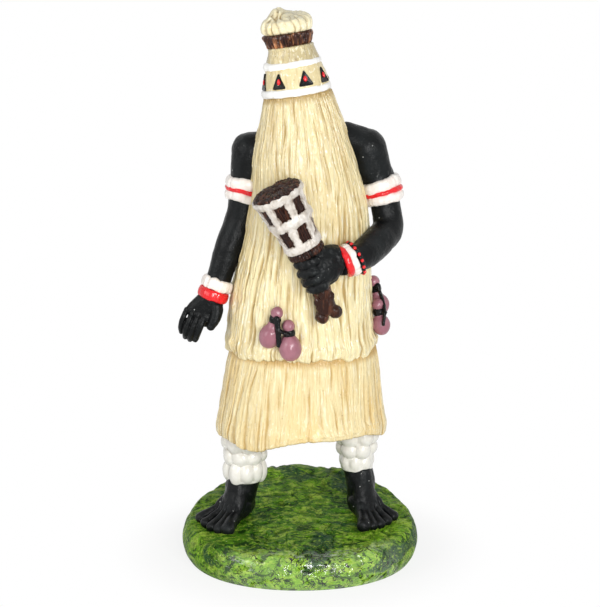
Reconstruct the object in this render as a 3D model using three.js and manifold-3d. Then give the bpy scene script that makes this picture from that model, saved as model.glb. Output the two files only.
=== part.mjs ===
// Painted resin statuette of a straw-veiled orisha on a round grass base.
// Millimetres, +Z up, front towards -Y, origin under the middle of the base.
// Left and right are the figure's own: its right side is at -X.
import * as THREE from "three";
import { mergeVertices } from "three/addons/utils/BufferGeometryUtils.js";
import Module from "manifold-3d";

// Fits
const GLUE_GAP = 0.3;
const PEG_RADIUS = 2.2;
const PEG_DEPTH = 5.5;

// Grass base
const BASE_WIDTH = 87;
const BASE_DEPTH = 88;
const BASE_EDGE_HEIGHT = 11.5;
const BASE_WIDEST_HEIGHT = 5;
const BASE_UNDERCUT = 1.8;
const BASE_ROLL = 3;
const BASE_CROWN = 1.8;
const BASE_BACK_RISE = 6.4;

// Legs and feet
const RIGHT_LEG_OFFSET = 20;
const LEFT_LEG_OFFSET = 20.6;
const RIGHT_LEG_SETBACK = -0.5;
const LEFT_LEG_SETBACK = 2;
const RIGHT_FOOT_TURN = 40;
const LEFT_FOOT_TURN = 30;
const RIGHT_ANKLE_SHOWN = 14.8;
const LEFT_ANKLE_SHOWN = 18;
const RIGHT_SHIN_RADIUS = 5.9;
const LEFT_SHIN_RADIUS = 5.3;
const FOOT_REACH = 18.4;
const HEEL_RADIUS = 4.4;
const FOOT_ARCH_HEIGHT = 10.5;
const BIG_TOE_RADIUS = 2.3;
const SMALL_TOE_RADIUS = 1.8;
const SOLE_SINK = 0.9;

// Tufted gaiters
const GAITER_TUFTS = 9;
const GAITER_TUFT_DEPTH = 0.55;
const RIGHT_GAITER_LOWER_RADIUS = 8.1;
const RIGHT_GAITER_UPPER_RADIUS = 8.7;
const RIGHT_GAITER_LOWER_HEIGHT = 7.6;
const LEFT_GAITER_LOWER_RADIUS = 6.8;
const LEFT_GAITER_UPPER_RADIUS = 8.2;
const LEFT_GAITER_LOWER_HEIGHT = 6.6;
const GAITER_UPPER_HEIGHT = 10;

// Straw skirt
const SKIRT_HEM_HEIGHT = 33.6;
const SKIRT_DROP = 30;
const SKIRT_HEM_WIDTH = 61.4;
const SKIRT_HEM_DEPTH = 49;
const SKIRT_WAIST_WIDTH = 52.6;
const SKIRT_WAIST_DEPTH = 42.5;
const SKIRT_SHIFT = 0.4;
const SKIRT_WAIST_SHIFT = 1.2;
const SKIRT_STRANDS = 72;
const SKIRT_HEM_DIP = 3;
const SKIRT_HEM_RECESS = 4;
const SKIRT_HEM_WALL = 3;
const SKIRT_PLUG_HEIGHT = 6;
const SKIRT_PLUG_INSET = 4;

// Straw veil
const VEIL_DROP = 91.7;
const VEIL_HEM_WIDTH = 54.6;
const VEIL_HEM_DEPTH = 45;
const VEIL_CHEST_WIDTH = 42.4;
const VEIL_CHEST_DEPTH = 38.6;
const VEIL_CHEST_SHIFT = 2.7;
const VEIL_SHOULDER_WIDTH = 36;
const VEIL_SHOULDER_DEPTH = 34.4;
const VEIL_SHOULDER_SHIFT = 1.2;
const VEIL_STRANDS = 62;
const VEIL_HEM_WAVE = 0.9;
const STRAND_GROOVE = 0.6;

// Core under the veil
const CORE_SEAT = 9;
const CORE_FOOT_WIDTH = 24;
const CORE_TOP_WIDTH = 17;
const CORE_DEPTH = 18;
const CORE_ABOVE_SHOULDERS = 8;

// Crown and topknot, stacked along the tilted head
const CROWN_TILT = 8.5;
const CROWN_LEAN = 6.5;
const CROWN_SHIFT = -0.8;
const CROWN_BASE_RADIUS = 11.9;
const CROWN_TOP_RADIUS = 9.7;
const CROWN_BAND_HEIGHT = 10.2;
const CROWN_PEG_RADIUS = 6;
const CROWN_LOWER_CORD = 2.2;
const CROWN_UPPER_CORD = 2.4;
const STUD_COUNT = 8;
const STUD_FIRST_ANGLE = 18;
const STUD_WIDTH = 4.4;
const STUD_HEIGHT = 5;
const STUD_THICKNESS = 0.7;
const GEM_WIDTH = 1.6;
const GEM_HEIGHT = 2.3;
const GEM_THICKNESS = 0.5;
const NECK_HEIGHT = 5.8;
const NECK_RADIUS = 7.9;
const TIE_HEIGHT = 4.1;
const TIE_RADIUS = 8.5;
const TIE_STRANDS = 15;
const TOPKNOT_RADIUS = 8.8;
const TOPKNOT_HEIGHT = 8.2;
const TOPKNOT_LOBES = 7;
const TOPKNOT_LOBE_DEPTH = 0.6;
const TOPKNOT_BUD_RADIUS = 2.3;
const TOPKNOT_STEM_RADIUS = 3.6;

// Arms: shoulder height over the veil hem, then drop from shoulder to wrist
const SHOULDER_RISE = 70.6;
const RIGHT_SHOULDER_OFFSET = 17.3;
const LEFT_SHOULDER_OFFSET = 23.4;
const SHOULDER_SETBACK = 3;
const RIGHT_SHOULDER_RADIUS = 6.7;
const LEFT_SHOULDER_RADIUS = 7.1;
const ELBOW_RADIUS = 5.4;
const WRIST_RADIUS = 4;
const RIGHT_ARM_DROP = 52.6;
const LEFT_ARM_DROP = 33.2;
const TENON_RADIUS = 3;
const TENON_SEAT = 3;

// Bands on the arms
const RIGHT_ARMBAND_AT = 13.9;
const LEFT_ARMBAND_AT = 16.2;
const ARMBAND_ROLL_HEIGHT = 3;
const ARMBAND_CORD_HEIGHT = 2.2;
const ARMBAND_ROLL_THICKNESS = 1.7;
const ARMBAND_CORD_THICKNESS = 1.6;
const WRIST_ROLL_HEIGHT = 3.6;
const WRIST_CORD_HEIGHT = 3.4;
const WRIST_BAND_THICKNESS = 1.5;
const LEFT_WRIST_ROLL_HEIGHT = 3;
const LEFT_WRIST_CORD_HEIGHT = 2.4;
const BRACELET_HEIGHT = 2.6;
const BEAD_RADIUS = 0.95;
const BEAD_COUNT = 12;

// Hands
const HAND_LENGTH = 13.6;
const FINGER_RADIUS = 1.45;
const THUMB_RADIUS = 1.85;
const FIST_HALF_HEIGHT = 6.4;
const FIST_HALF_THICKNESS = 5.2;
const FIST_LENGTH = 9.4;
const FIST_FINGER_RADIUS = 1.8;

// Ritual broom scepter, measured along its own axis from the middle of the grip
const SCEPTER_LEAN = 25.8;
const SCEPTER_FORWARD_LEAN = 3;
const GRIP_SHIFT = 5.65;
const GRIP_FORWARD = 26.9;
const GRIP_DROP = 35.75;
const HANDLE_RADIUS = 3.1;
const HANDLE_BELOW_GRIP = 14.9;
const HANDLE_TENON_RADIUS = 2.3;
const HANDLE_TENON_LENGTH = 8;
const KNOB_RADIUS = 2.5;
const COLLAR_RADIUS = 6.6;
const COLLAR_HEIGHT = 2.7;
const HEAD_LENGTH = 22.3;
const HEAD_BASE_RADIUS = 6.3;
const HEAD_TOP_RADIUS = 9.1;
const HEAD_DOME = 0.8;
const LATTICE_THICKNESS = 0.9;
const LATTICE_WINDOWS = 7;
const WINDOW_WIDTH = 4.2;
const UPPER_WINDOW_HEIGHT = 6;
const LOWER_WINDOW_HEIGHT = 5.8;
const UPPER_WINDOW_AT = 15.9;
const LOWER_WINDOW_AT = 6.2;

// Gourds tied to the veil
const GOURD_RADIUS = 3.6;
const GOURD_HALF_HEIGHT = 4.3;
const GOURD_WAIST_RADIUS = 1.5;
const GOURD_BULB_RADIUS = 2.2;
const GOURD_STANDOFF = 1.5;
const RIBBON_THICKNESS = 1.2;
const RIBBON_TAIL_WIDTH = 2.2;
const RIBBON_TAIL_LENGTH = 12;

const FINISH = {
  grass: { color: 0x57822d, roughness: 0.35, metalness: 0 },
  skin: { color: 0x23282a, roughness: 0.3, metalness: 0 },
  straw: { color: 0xf6e6ba, roughness: 0.4, metalness: 0 },
  khaki: { color: 0xebddb4, roughness: 0.4, metalness: 0 },
  white: { color: 0xf3efe2, roughness: 0.35, metalness: 0 },
  red: { color: 0xdd1524, roughness: 0.25, metalness: 0 },
  black: { color: 0x141616, roughness: 0.3, metalness: 0 },
  brown: { color: 0x4d2b1a, roughness: 0.45, metalness: 0 },
  mauve: { color: 0xad7982, roughness: 0.35, metalness: 0 },
};

const TURN = 2 * Math.PI;
const ROD_SIDES = 12;
const CORD_SECTION_SIDES = 6;
const WELD_DISTANCE = 1e-4;
const UP = new THREE.Vector3(0, 0, 1);
const FRONT = new THREE.Vector3(0, -1, 0);
const BACK = new THREE.Vector3(0, 1, 0);
const ASIDE = new THREE.Vector3(1, 0, 0);
const RIGHT_SIDE = -1;
const LEFT_SIDE = 1;
const radians = THREE.MathUtils.degToRad;
const vec = (x, y, z) => new THREE.Vector3(x, y, z);

const wasm = await Module();
wasm.setup();

// Solids

// A closed geometry as a solid, with its seams joined and its empty triangles left out.
function solid(geometry) {
  const bare = geometry.clone();
  bare.deleteAttribute("normal");
  bare.deleteAttribute("uv");
  const joined = mergeVertices(bare, WELD_DISTANCE);
  const corners = Array.from(joined.index.array);
  const kept = [];
  for (let i = 0; i < corners.length; i += 3) {
    const [a, b, c] = corners.slice(i, i + 3);
    if (a !== b && b !== c && c !== a) kept.push(a, b, c);
  }
  const triVerts = new Uint32Array(kept);
  const vertProperties = new Float32Array(joined.attributes.position.array);
  return new wasm.Manifold(new wasm.Mesh({ numProp: 3, vertProperties, triVerts }));
}

const joined = (...parts) => parts.reduce((whole, part) => whole.add(part));
const without = (whole, ...cutters) => cutters.reduce((rest, cutter) => rest.subtract(cutter), whole);

// The largest body of a solid: what a cut leaves of a casting, without stray chips.
function mainBody(shape) {
  const bodies = shape.decompose();
  return bodies.reduce((best, body) => (body.volume() > best.volume() ? body : best));
}

function geometryOf(shape) {
  const { vertProperties, triVerts } = shape.getMesh();
  const geometry = new THREE.BufferGeometry();
  geometry.setAttribute("position", new THREE.Float32BufferAttribute(vertProperties, 3));
  geometry.setIndex(Array.from(triVerts));
  geometry.computeVertexNormals();
  return geometry;
}

// A skin over a stack of rings with equal point counts, closed by a fan at each end.
function loft(rings) {
  const sides = rings[0].length;
  const points = rings.flat();
  const faces = [];
  for (let r = 0; r + 1 < rings.length; r++) {
    for (let i = 0; i < sides; i++) {
      const a = r * sides + i;
      const b = r * sides + ((i + 1) % sides);
      faces.push(a, b, b + sides, a, b + sides, a + sides);
    }
  }
  const middle = (ring) => ring.reduce((sum, p) => sum.add(p), vec(0, 0, 0)).divideScalar(sides);
  const first = points.push(middle(rings[0])) - 1;
  const last = points.push(middle(rings.at(-1))) - 1;
  const top = (rings.length - 1) * sides;
  for (let i = 0; i < sides; i++) {
    const next = (i + 1) % sides;
    faces.push(first, next, i, last, top + i, top + next);
  }
  return new THREE.BufferGeometry().setFromPoints(points).setIndex(faces);
}

// One ring of points; reach(i, angle) gives its half width and half depth there.
function ringOf(sides, centre, across, deep, reach, turnOf = (i) => (i / sides) * TURN) {
  return Array.from({ length: sides }, (_, i) => {
    const angle = turnOf(i);
    const [wide, thick] = reach(i, angle);
    const point = centre.clone().addScaledVector(across, wide * Math.cos(angle));
    return point.addScaledVector(deep, thick * Math.sin(angle));
  });
}

// A turned piece round +Z from [radius, height] pairs listed from bottom to top.
function turned(profile, sides) {
  const points = profile.map(([radius, height]) => new THREE.Vector2(radius, height));
  return new THREE.LatheGeometry(points, sides).rotateX(Math.PI / 2);
}

// A ring of rounded section round +Z whose flats clear a bore.
function cordRing(bore, thickness, height, sides = 14) {
  const clear = bore / Math.cos(Math.PI / sides);
  const ring = new THREE.TorusGeometry(clear + thickness / 2, thickness / 2, CORD_SECTION_SIDES, sides);
  return ring.scale(1, 1, height / thickness);
}

// Moves every point of a geometry out from the Z axis by offset(angle, point).
function pushedOut(geometry, offset) {
  const at = geometry.attributes.position;
  for (let i = 0; i < at.count; i++) {
    const point = vec(at.getX(i), at.getY(i), at.getZ(i));
    const radius = Math.hypot(point.x, point.y);
    if (radius < WELD_DISTANCE) continue;
    const share = 1 + offset(Math.atan2(point.y, point.x), point) / radius;
    at.setXY(i, point.x * share, point.y * share);
  }
  return geometry;
}

// A copy of a geometry with its Z axis laid along a direction, moved to a point.
function laid(geometry, at, direction) {
  const turn = new THREE.Quaternion().setFromUnitVectors(UP, direction.clone().normalize());
  return geometry.clone().applyQuaternion(turn).translate(at.x, at.y, at.z);
}

const ball = (at, radius, sides = 10) =>
  new THREE.SphereGeometry(radius, sides, Math.round(sides * 0.7)).translate(at.x, at.y, at.z);

// A round rod between two points.
function rod(from, to, radius, sides = ROD_SIDES) {
  const axis = to.clone().sub(from);
  const shape = new THREE.CylinderGeometry(radius, radius, axis.length(), sides).rotateX(Math.PI / 2);
  return laid(shape, from.clone().addScaledVector(axis, 0.5), axis);
}

// Limbs: smooth rods of changing oval section through a few stations

// A station: its middle, half width and half depth.
const station = (at, wide, deep = wide) => ({ at, wide, deep });

// The middle line of a limb and its half sizes as curves over the same parameter.
function limbCurves(stations) {
  const line = new THREE.CatmullRomCurve3(stations.map((s) => s.at));
  const sizes = new THREE.CatmullRomCurve3(stations.map((s) => vec(s.wide, s.deep, 0)));
  return { line, sizes };
}

// Place, direction and half width of a limb at a distance from its start.
function limbAt(stations, distance) {
  const { line, sizes } = limbCurves(stations);
  const t = line.getUtoTmapping(0, distance);
  return { at: line.getPoint(t), along: line.getTangent(t), radius: sizes.getPoint(t).x };
}

// Angle of the ring that rounds a limb's end.
const END_ROUNDING = radians(55);

// The skin of a limb. Its ends are rounded by a share of the end's half width.
function limbGeometry(stations, options = {}) {
  const { sides = 10, steps = 8, grow = 0, ref = FRONT, startRound = 1, endRound = 1 } = options;
  const { line, sizes } = limbCurves(stations);
  const rings = [];
  const addRing = (t, shift, share) => {
    const along = line.getTangent(t);
    const across = ref.clone().cross(along).normalize();
    const deep = along.clone().cross(across);
    const size = sizes.getPoint(t);
    const centre = line.getPoint(t).addScaledVector(along, shift * (size.x + grow));
    rings.push(ringOf(sides, centre, across, deep, () => [(size.x + grow) * share, (size.y + grow) * share]));
  };
  if (startRound) addRing(0, -Math.sin(END_ROUNDING) * startRound, Math.cos(END_ROUNDING));
  for (let i = 0; i <= steps; i++) addRing(i / steps, 0, 1);
  if (endRound) addRing(1, Math.sin(END_ROUNDING) * endRound, Math.cos(END_ROUNDING));
  return loft(rings);
}

const limb = (stations, options) => solid(limbGeometry(stations, options));

// Scene graph helpers

const statue = new THREE.Group();

function addPiece(name, shape, finish, parent = statue) {
  const mesh = new THREE.Mesh(geometryOf(shape), new THREE.MeshStandardMaterial(finish));
  mesh.name = name;
  parent.add(mesh);
}

function addGroup(at, rotation = new THREE.Euler()) {
  const group = new THREE.Group();
  group.position.copy(at);
  group.rotation.copy(rotation);
  statue.add(group);
  group.updateMatrixWorld();
  return group;
}

// A group's own geometry as a solid in the statue's frame.
const inStatue = (group, geometry) => solid(geometry.clone().applyMatrix4(group.matrixWorld));

// Grass base

const BASE_SIDES = 32;
const baseReach = { x: BASE_WIDTH / 2, y: BASE_DEPTH / 2 };

// Height of the grass: a low crown that climbs towards the back.
function grassHeight(x, y) {
  const across = (x / baseReach.x) ** 2;
  const out = Math.min(1, across + (y / baseReach.y) ** 2);
  const climb = THREE.MathUtils.smoothstep(y / baseReach.y, -0.35, 1);
  return BASE_EDGE_HEIGHT + BASE_CROWN * (1 - out) + BASE_BACK_RISE * climb * (1 - across);
}

function baseSolid() {
  const at = (angle, inset) => {
    const x = (baseReach.x - inset) * Math.cos(angle);
    return [x, (baseReach.y - inset) * Math.sin(angle)];
  };
  const rows = [
    { inset: BASE_UNDERCUT, height: () => 0 },
    { inset: BASE_UNDERCUT * 0.25, height: () => BASE_WIDEST_HEIGHT * 0.45 },
    { inset: 0, height: () => BASE_WIDEST_HEIGHT },
    { inset: BASE_ROLL * 0.3, height: (grass) => BASE_WIDEST_HEIGHT + (grass - BASE_WIDEST_HEIGHT) * 0.7 },
    { inset: BASE_ROLL, height: (grass) => grass },
    { inset: baseReach.x * 0.3, height: (grass) => grass },
    { inset: baseReach.x * 0.6, height: (grass) => grass },
  ];
  const rings = rows.map(({ inset, height }) =>
    Array.from({ length: BASE_SIDES }, (_, i) => {
      const [x, y] = at((i / BASE_SIDES) * TURN, inset);
      return vec(x, y, height(grassHeight(x, y)));
    }),
  );
  return solid(loft(rings));
}

// Legs and feet

const LEGS = [
  {
    name: "right",
    side: RIGHT_SIDE,
    at: [-RIGHT_LEG_OFFSET, RIGHT_LEG_SETBACK],
    turn: RIGHT_FOOT_TURN,
    ankle: RIGHT_ANKLE_SHOWN,
    shin: RIGHT_SHIN_RADIUS,
    tiers: [
      { name: "lower", radius: RIGHT_GAITER_LOWER_RADIUS, height: RIGHT_GAITER_LOWER_HEIGHT },
      { name: "upper", radius: RIGHT_GAITER_UPPER_RADIUS, height: GAITER_UPPER_HEIGHT },
    ],
  },
  {
    name: "left",
    side: LEFT_SIDE,
    at: [LEFT_LEG_OFFSET, LEFT_LEG_SETBACK],
    turn: LEFT_FOOT_TURN,
    ankle: LEFT_ANKLE_SHOWN,
    shin: LEFT_SHIN_RADIUS,
    tiers: [
      { name: "lower", radius: LEFT_GAITER_LOWER_RADIUS, height: LEFT_GAITER_LOWER_HEIGHT },
      { name: "upper", radius: LEFT_GAITER_UPPER_RADIUS, height: GAITER_UPPER_HEIGHT },
    ],
  },
];

const groundZ = grassHeight(0, 0);
const skirtHemZ = groundZ + SKIRT_HEM_HEIGHT;
const veilHemZ = skirtHemZ + SKIRT_DROP;

// Height of the sole under a leg.
const soleOf = (leg) => grassHeight(...leg.at) - SOLE_SINK;

// Foot frame: origin on the sole under the shin, toes along -Y, pitched to the slope of the grass.
function footFrame(leg) {
  const yaw = leg.side * radians(leg.turn);
  const [x, y] = leg.at;
  const toe = [x + FOOT_REACH * Math.sin(yaw), y - FOOT_REACH * Math.cos(yaw)];
  const pitch = Math.atan2(grassHeight(x, y) - grassHeight(...toe), FOOT_REACH);
  const frame = new THREE.Matrix4().makeRotationFromEuler(new THREE.Euler(pitch, 0, yaw, "ZXY"));
  return frame.setPosition(x, y, soleOf(leg));
}

// Heel and toe tips, sideways towards the small toe and forward, as shares of the foot's reach.
const HEEL_PLACE = { out: 0.08, reach: -0.08 };
const TOE_TIPS = [
  { out: -0.36, reach: 0.98, radius: BIG_TOE_RADIUS },
  { out: -0.14, reach: 1, radius: SMALL_TOE_RADIUS },
  { out: 0.04, reach: 0.97, radius: SMALL_TOE_RADIUS },
  { out: 0.28, reach: 0.84, radius: SMALL_TOE_RADIUS },
  { out: 0.57, reach: 0.62, radius: SMALL_TOE_RADIUS },
];

function legSolid(leg, grow = 0) {
  const frame = footFrame(leg);
  const inFoot = (out, forward, height) => vec(leg.side * out, -forward, height).applyMatrix4(frame);
  const fromHeel = (tip, share, height) => {
    const between = (key) => FOOT_REACH * THREE.MathUtils.lerp(HEEL_PLACE[key], tip[key], share);
    return inFoot(between("out"), between("reach"), height);
  };
  const [x, y] = leg.at;
  const sole = soleOf(leg);
  const shin = limb(
    [
      station(vec(x, y, skirtHemZ + PEG_DEPTH), leg.shin),
      station(vec(x, y, sole + leg.ankle), leg.shin),
      station(fromHeel(HEEL_PLACE, 0, FOOT_ARCH_HEIGHT * 0.5), HEEL_RADIUS),
    ],
    { steps: 5, grow, startRound: 0 },
  );
  const rays = TOE_TIPS.map((tip) => {
    const profile = [
      { share: 0, wide: HEEL_RADIUS, top: FOOT_ARCH_HEIGHT },
      { share: 0.45, wide: HEEL_RADIUS * 0.8, top: FOOT_ARCH_HEIGHT * 0.78 },
      { share: 0.78, wide: tip.radius * 1.1, top: tip.radius * 2.5 },
      { share: 0.9, wide: tip.radius, top: tip.radius * 1.9 },
    ];
    const stations = profile.map(({ share, wide, top }) =>
      station(fromHeel(tip, share, top / 2), wide, top / 2),
    );
    return limb(stations, { sides: 8, steps: 5, grow, ref: UP, startRound: 0.4 });
  });
  const peg = solid(rod(vec(x, y, sole - PEG_DEPTH - grow), vec(x, y, sole + SOLE_SINK), PEG_RADIUS + grow));
  return joined(shin, ...rays, peg);
}

// The ground under a sole: all that lies below the foot's own plane, apart from the peg's column.
function belowSole(leg) {
  const block = new THREE.BoxGeometry(FOOT_REACH * 4, FOOT_REACH * 4, BASE_EDGE_HEIGHT);
  const slab = solid(block.translate(0, 0, -BASE_EDGE_HEIGHT / 2).applyMatrix4(footFrame(leg)));
  const [x, y] = leg.at;
  const sole = soleOf(leg);
  const column = rod(vec(x, y, sole - BASE_EDGE_HEIGHT), vec(x, y, sole), PEG_RADIUS + GLUE_GAP);
  return slab.subtract(solid(column));
}

// One tier of a gaiter: a flared ring of rounded tufts round the shin.
function gaiterTier(leg, tier, floor, grow = 0) {
  const bore = leg.shin + GLUE_GAP;
  const { radius, height } = tier;
  const flare = radius - bore;
  const section = [
    [bore - grow, -grow],
    [bore + flare * 0.7, -grow],
    [radius + grow, height * 0.18],
    [bore + flare * 0.94 + grow, height * 0.5],
    [bore + flare * 0.7 + grow, height * 0.88],
    [bore + flare * 0.5, height + grow],
    [bore - grow, height + grow],
    [bore - grow, -grow],
  ];
  const tuft = (angle, point) => {
    const share = Math.max(0, (Math.hypot(point.x, point.y) - bore) / flare);
    return GAITER_TUFT_DEPTH * share * (Math.abs(Math.cos((angle * GAITER_TUFTS) / 2)) - 1);
  };
  const ring = pushedOut(turned(section, GAITER_TUFTS * 2), tuft);
  return solid(ring.translate(leg.at[0], leg.at[1], floor));
}

// Straw: lofts with strand grooves, and their smooth envelopes

// Control rows from the hem up: height over the hem, sideways shift, half sizes and tilt.
const row = (rise, shift, width, depth, tilt = 0) => {
  const half = { wide: width / 2, deep: depth / 2 };
  return { rise, shift, tilt, ...half };
};
const SKIRT_ROWS = [
  row(0, SKIRT_SHIFT, SKIRT_HEM_WIDTH, SKIRT_HEM_DEPTH),
  row(SKIRT_DROP * 0.28, SKIRT_SHIFT, SKIRT_HEM_WIDTH * 0.96, SKIRT_HEM_DEPTH * 0.967),
  row(SKIRT_DROP * 0.967, SKIRT_WAIST_SHIFT, SKIRT_WAIST_WIDTH, SKIRT_WAIST_DEPTH),
  row(
    SKIRT_DROP + SKIRT_PLUG_HEIGHT,
    SKIRT_WAIST_SHIFT,
    SKIRT_WAIST_WIDTH - SKIRT_PLUG_INSET * 2,
    SKIRT_WAIST_DEPTH - SKIRT_PLUG_INSET * 2,
  ),
];
const crownWidth = CROWN_BASE_RADIUS * 2;
const VEIL_ROWS = [
  row(0, SKIRT_SHIFT, VEIL_HEM_WIDTH, VEIL_HEM_DEPTH),
  row(VEIL_DROP * 0.24, SKIRT_SHIFT * 1.75, VEIL_HEM_WIDTH * 0.916, VEIL_HEM_DEPTH * 0.955),
  row(VEIL_DROP * 0.56, VEIL_CHEST_SHIFT, VEIL_CHEST_WIDTH, VEIL_CHEST_DEPTH),
  row(VEIL_DROP * 0.77, VEIL_SHOULDER_SHIFT, VEIL_SHOULDER_WIDTH, VEIL_SHOULDER_DEPTH, CROWN_TILT * 0.12),
  row(VEIL_DROP * 0.9, VEIL_SHOULDER_SHIFT * 0.17, crownWidth * 1.227, crownWidth * 1.202, CROWN_TILT * 0.59),
  row(VEIL_DROP, CROWN_SHIFT, crownWidth, crownWidth, CROWN_TILT),
];

// The crown's turn, sideways by a tilt and backwards in step with it.
const crownTurn = (tilt) => new THREE.Euler(-radians((tilt / CROWN_TILT) * CROWN_LEAN), -radians(tilt), 0);

// A row of a straw form at a share of its control rows.
function strawRow(rows, t) {
  const line = new THREE.CatmullRomCurve3(rows.map((r) => vec(r.shift, r.tilt, r.rise)));
  const sizes = new THREE.CatmullRomCurve3(rows.map((r) => vec(r.wide, r.deep, 0)));
  const place = line.getPoint(t);
  const size = sizes.getPoint(t);
  return { shift: place.x, tilt: place.y, rise: place.z, wide: size.x, deep: size.y };
}

// The row of a straw form at a height over its hem.
function strawRowAt(rows, rise) {
  let low = 0;
  let high = 1;
  while (high - low > WELD_DISTANCE) {
    const middle = (low + high) / 2;
    if (strawRow(rows, middle).rise < rise) low = middle;
    else high = middle;
  }
  return strawRow(rows, low);
}

// Strands are uneven in width: waves of a share of a strand, with their step from strand to strand.
const STRAND_WIDTH_WAVES = [
  [0.22, 2.3],
  [0.14, 5.1],
];
// Strands sway on their way down: share of a strand, waves round the figure and rise for each radian.
const STRAND_SWAYS = [
  [0.35, 3, 17],
  [0.2, -7, 11],
];

// Angle of a groove, at even places, or of the strand's crest after it, at odd ones.
function strandTurn(place, strands, rise) {
  const wave = (k) => (sum, [share, step]) => sum + share * Math.sin(step * k);
  const edge = (k) => (k % strands ? STRAND_WIDTH_WAVES.reduce(wave(k), k) : k);
  const strand = Math.floor(place / 2);
  const middle = place % 2 ? (edge(strand) + edge(strand + 1)) / 2 : edge(strand);
  const turn = (middle / strands) * TURN;
  const sway = (sum, [share, waves, reach]) => sum + share * Math.sin(waves * turn + rise / reach);
  return turn + (STRAND_SWAYS.reduce(sway, 0) / strands) * TURN;
}

// A straw form: grooves between strands, and a hem that waves by hem(angle).
function strawSolid(rows, hemZ, { strands, levels, groove = 0, grow = 0, hem = () => 0 }) {
  const sides = strands * 2;
  const rings = Array.from({ length: levels + 1 }, (_, level) => {
    const belt = strawRow(rows, level / levels);
    const [across, deep] = [ASIDE, BACK].map((way) => way.clone().applyEuler(crownTurn(belt.tilt)));
    const end = level === 0 ? -grow : level === levels ? grow : 0;
    const centre = vec(belt.shift, 0, hemZ + belt.rise + end);
    const turnOf = (i) => strandTurn(i, strands, belt.rise);
    const cut = (groove * belt.wide) / rows[0].wide;
    const reach = (i) => [belt.wide, belt.deep].map((size) => size + grow - (i % 2 ? 0 : cut));
    const ring = ringOf(sides, centre, across, deep, reach, turnOf);
    if (level === 0) ring.forEach((point, i) => (point.z += hem(turnOf(i))));
    return ring;
  });
  return solid(loft(rings));
}

// The skirt's hem dips in front of the figure's right leg.
const SKIRT_DIP_ANGLE = radians(228);
const SKIRT_DIP_SPREAD = 0.5;
const skirtHem = (angle) => -SKIRT_HEM_DIP * Math.exp(-(((angle - SKIRT_DIP_ANGLE) / SKIRT_DIP_SPREAD) ** 2));
const veilHem = (angle) => -VEIL_HEM_WAVE * (1 + Math.cos(5 * angle) * Math.sin(2 * angle));

const SKIRT_LEVELS = 6;
const VEIL_LEVELS = 9;
const ENVELOPE_STRANDS = 26;
const skirtEnvelope = (grow) =>
  strawSolid(SKIRT_ROWS, skirtHemZ, { strands: ENVELOPE_STRANDS, levels: SKIRT_LEVELS, grow });
const veilEnvelope = (grow) =>
  strawSolid(VEIL_ROWS, veilHemZ, { strands: ENVELOPE_STRANDS, levels: VEIL_LEVELS, grow, hem: veilHem });

// Shallow hollow under the skirt's hem.
function skirtRecess() {
  const { shift, wide, deep } = SKIRT_ROWS[0];
  const inner = (wall, z) =>
    ringOf(ENVELOPE_STRANDS, vec(shift, 0, z), ASIDE, BACK, () => [wide - wall, deep - wall]);
  const low = inner(SKIRT_HEM_WALL, skirtHemZ - SKIRT_HEM_DIP * 2);
  return solid(loft([low, inner(SKIRT_HEM_WALL * 1.33, skirtHemZ + SKIRT_HEM_RECESS)]));
}

// Core column

const shoulderZ = veilHemZ + SHOULDER_RISE;
const coreHalfWidthTop = CORE_TOP_WIDTH / 2;
const CORE_SIDES = 16;

function coreSolid(grow = 0) {
  const foot = vec(SKIRT_ROWS[0].shift, 0, veilHemZ - CORE_SEAT - grow);
  const top = vec(VEIL_ROWS[3].shift, 0, shoulderZ + CORE_ABOVE_SHOULDERS + grow);
  const rows = [
    [foot, CORE_FOOT_WIDTH / 2],
    [top, coreHalfWidthTop],
  ];
  const rings = rows.map(([centre, wide]) =>
    ringOf(CORE_SIDES, centre, ASIDE, BACK, () => [wide + grow, CORE_DEPTH / 2 + grow]),
  );
  return solid(loft(rings));
}

// Crown group

const crownZ = veilHemZ + VEIL_DROP;
const crown = addGroup(vec(CROWN_SHIFT, 0, crownZ), crownTurn(CROWN_TILT));
const lowerCordZ = GLUE_GAP + CROWN_LOWER_CORD / 2;
const bandTopZ = GLUE_GAP + CROWN_BAND_HEIGHT;
const upperCordZ = bandTopZ + GLUE_GAP / 2;
const neckTopZ = bandTopZ + GLUE_GAP + NECK_HEIGHT;
const tieZ = neckTopZ + GLUE_GAP;
const tieTopZ = tieZ + TIE_HEIGHT;
const topknotZ = tieTopZ + GLUE_GAP;
const CROWN_SIDES = 24;

// Radius of the band's cone at a height.
const bandRadius = (z) => THREE.MathUtils.lerp(CROWN_BASE_RADIUS, CROWN_TOP_RADIUS, z / bandTopZ) - GLUE_GAP;

const lowerCordBore = CROWN_BASE_RADIUS - CROWN_LOWER_CORD * 0.6;
const upperCordBore = CROWN_TOP_RADIUS - CROWN_UPPER_CORD * 0.6;
const lowerCord = () =>
  cordRing(lowerCordBore, CROWN_LOWER_CORD, CROWN_LOWER_CORD, CROWN_SIDES).translate(0, 0, lowerCordZ);
const upperCord = () =>
  cordRing(upperCordBore, CROWN_UPPER_CORD, CROWN_UPPER_CORD, CROWN_SIDES).translate(0, 0, upperCordZ);
const stemZ = bandTopZ + GLUE_GAP + NECK_HEIGHT / 2;
const topknotStem = (grow = 0) =>
  rod(vec(0, 0, stemZ - grow), vec(0, 0, topknotZ + 1), TOPKNOT_STEM_RADIUS + grow);
const crownPeg = (grow = 0) =>
  rod(vec(0, 0, -PEG_DEPTH - grow), vec(0, 0, GLUE_GAP + 1), CROWN_PEG_RADIUS + grow, CORE_SIDES);

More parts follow.
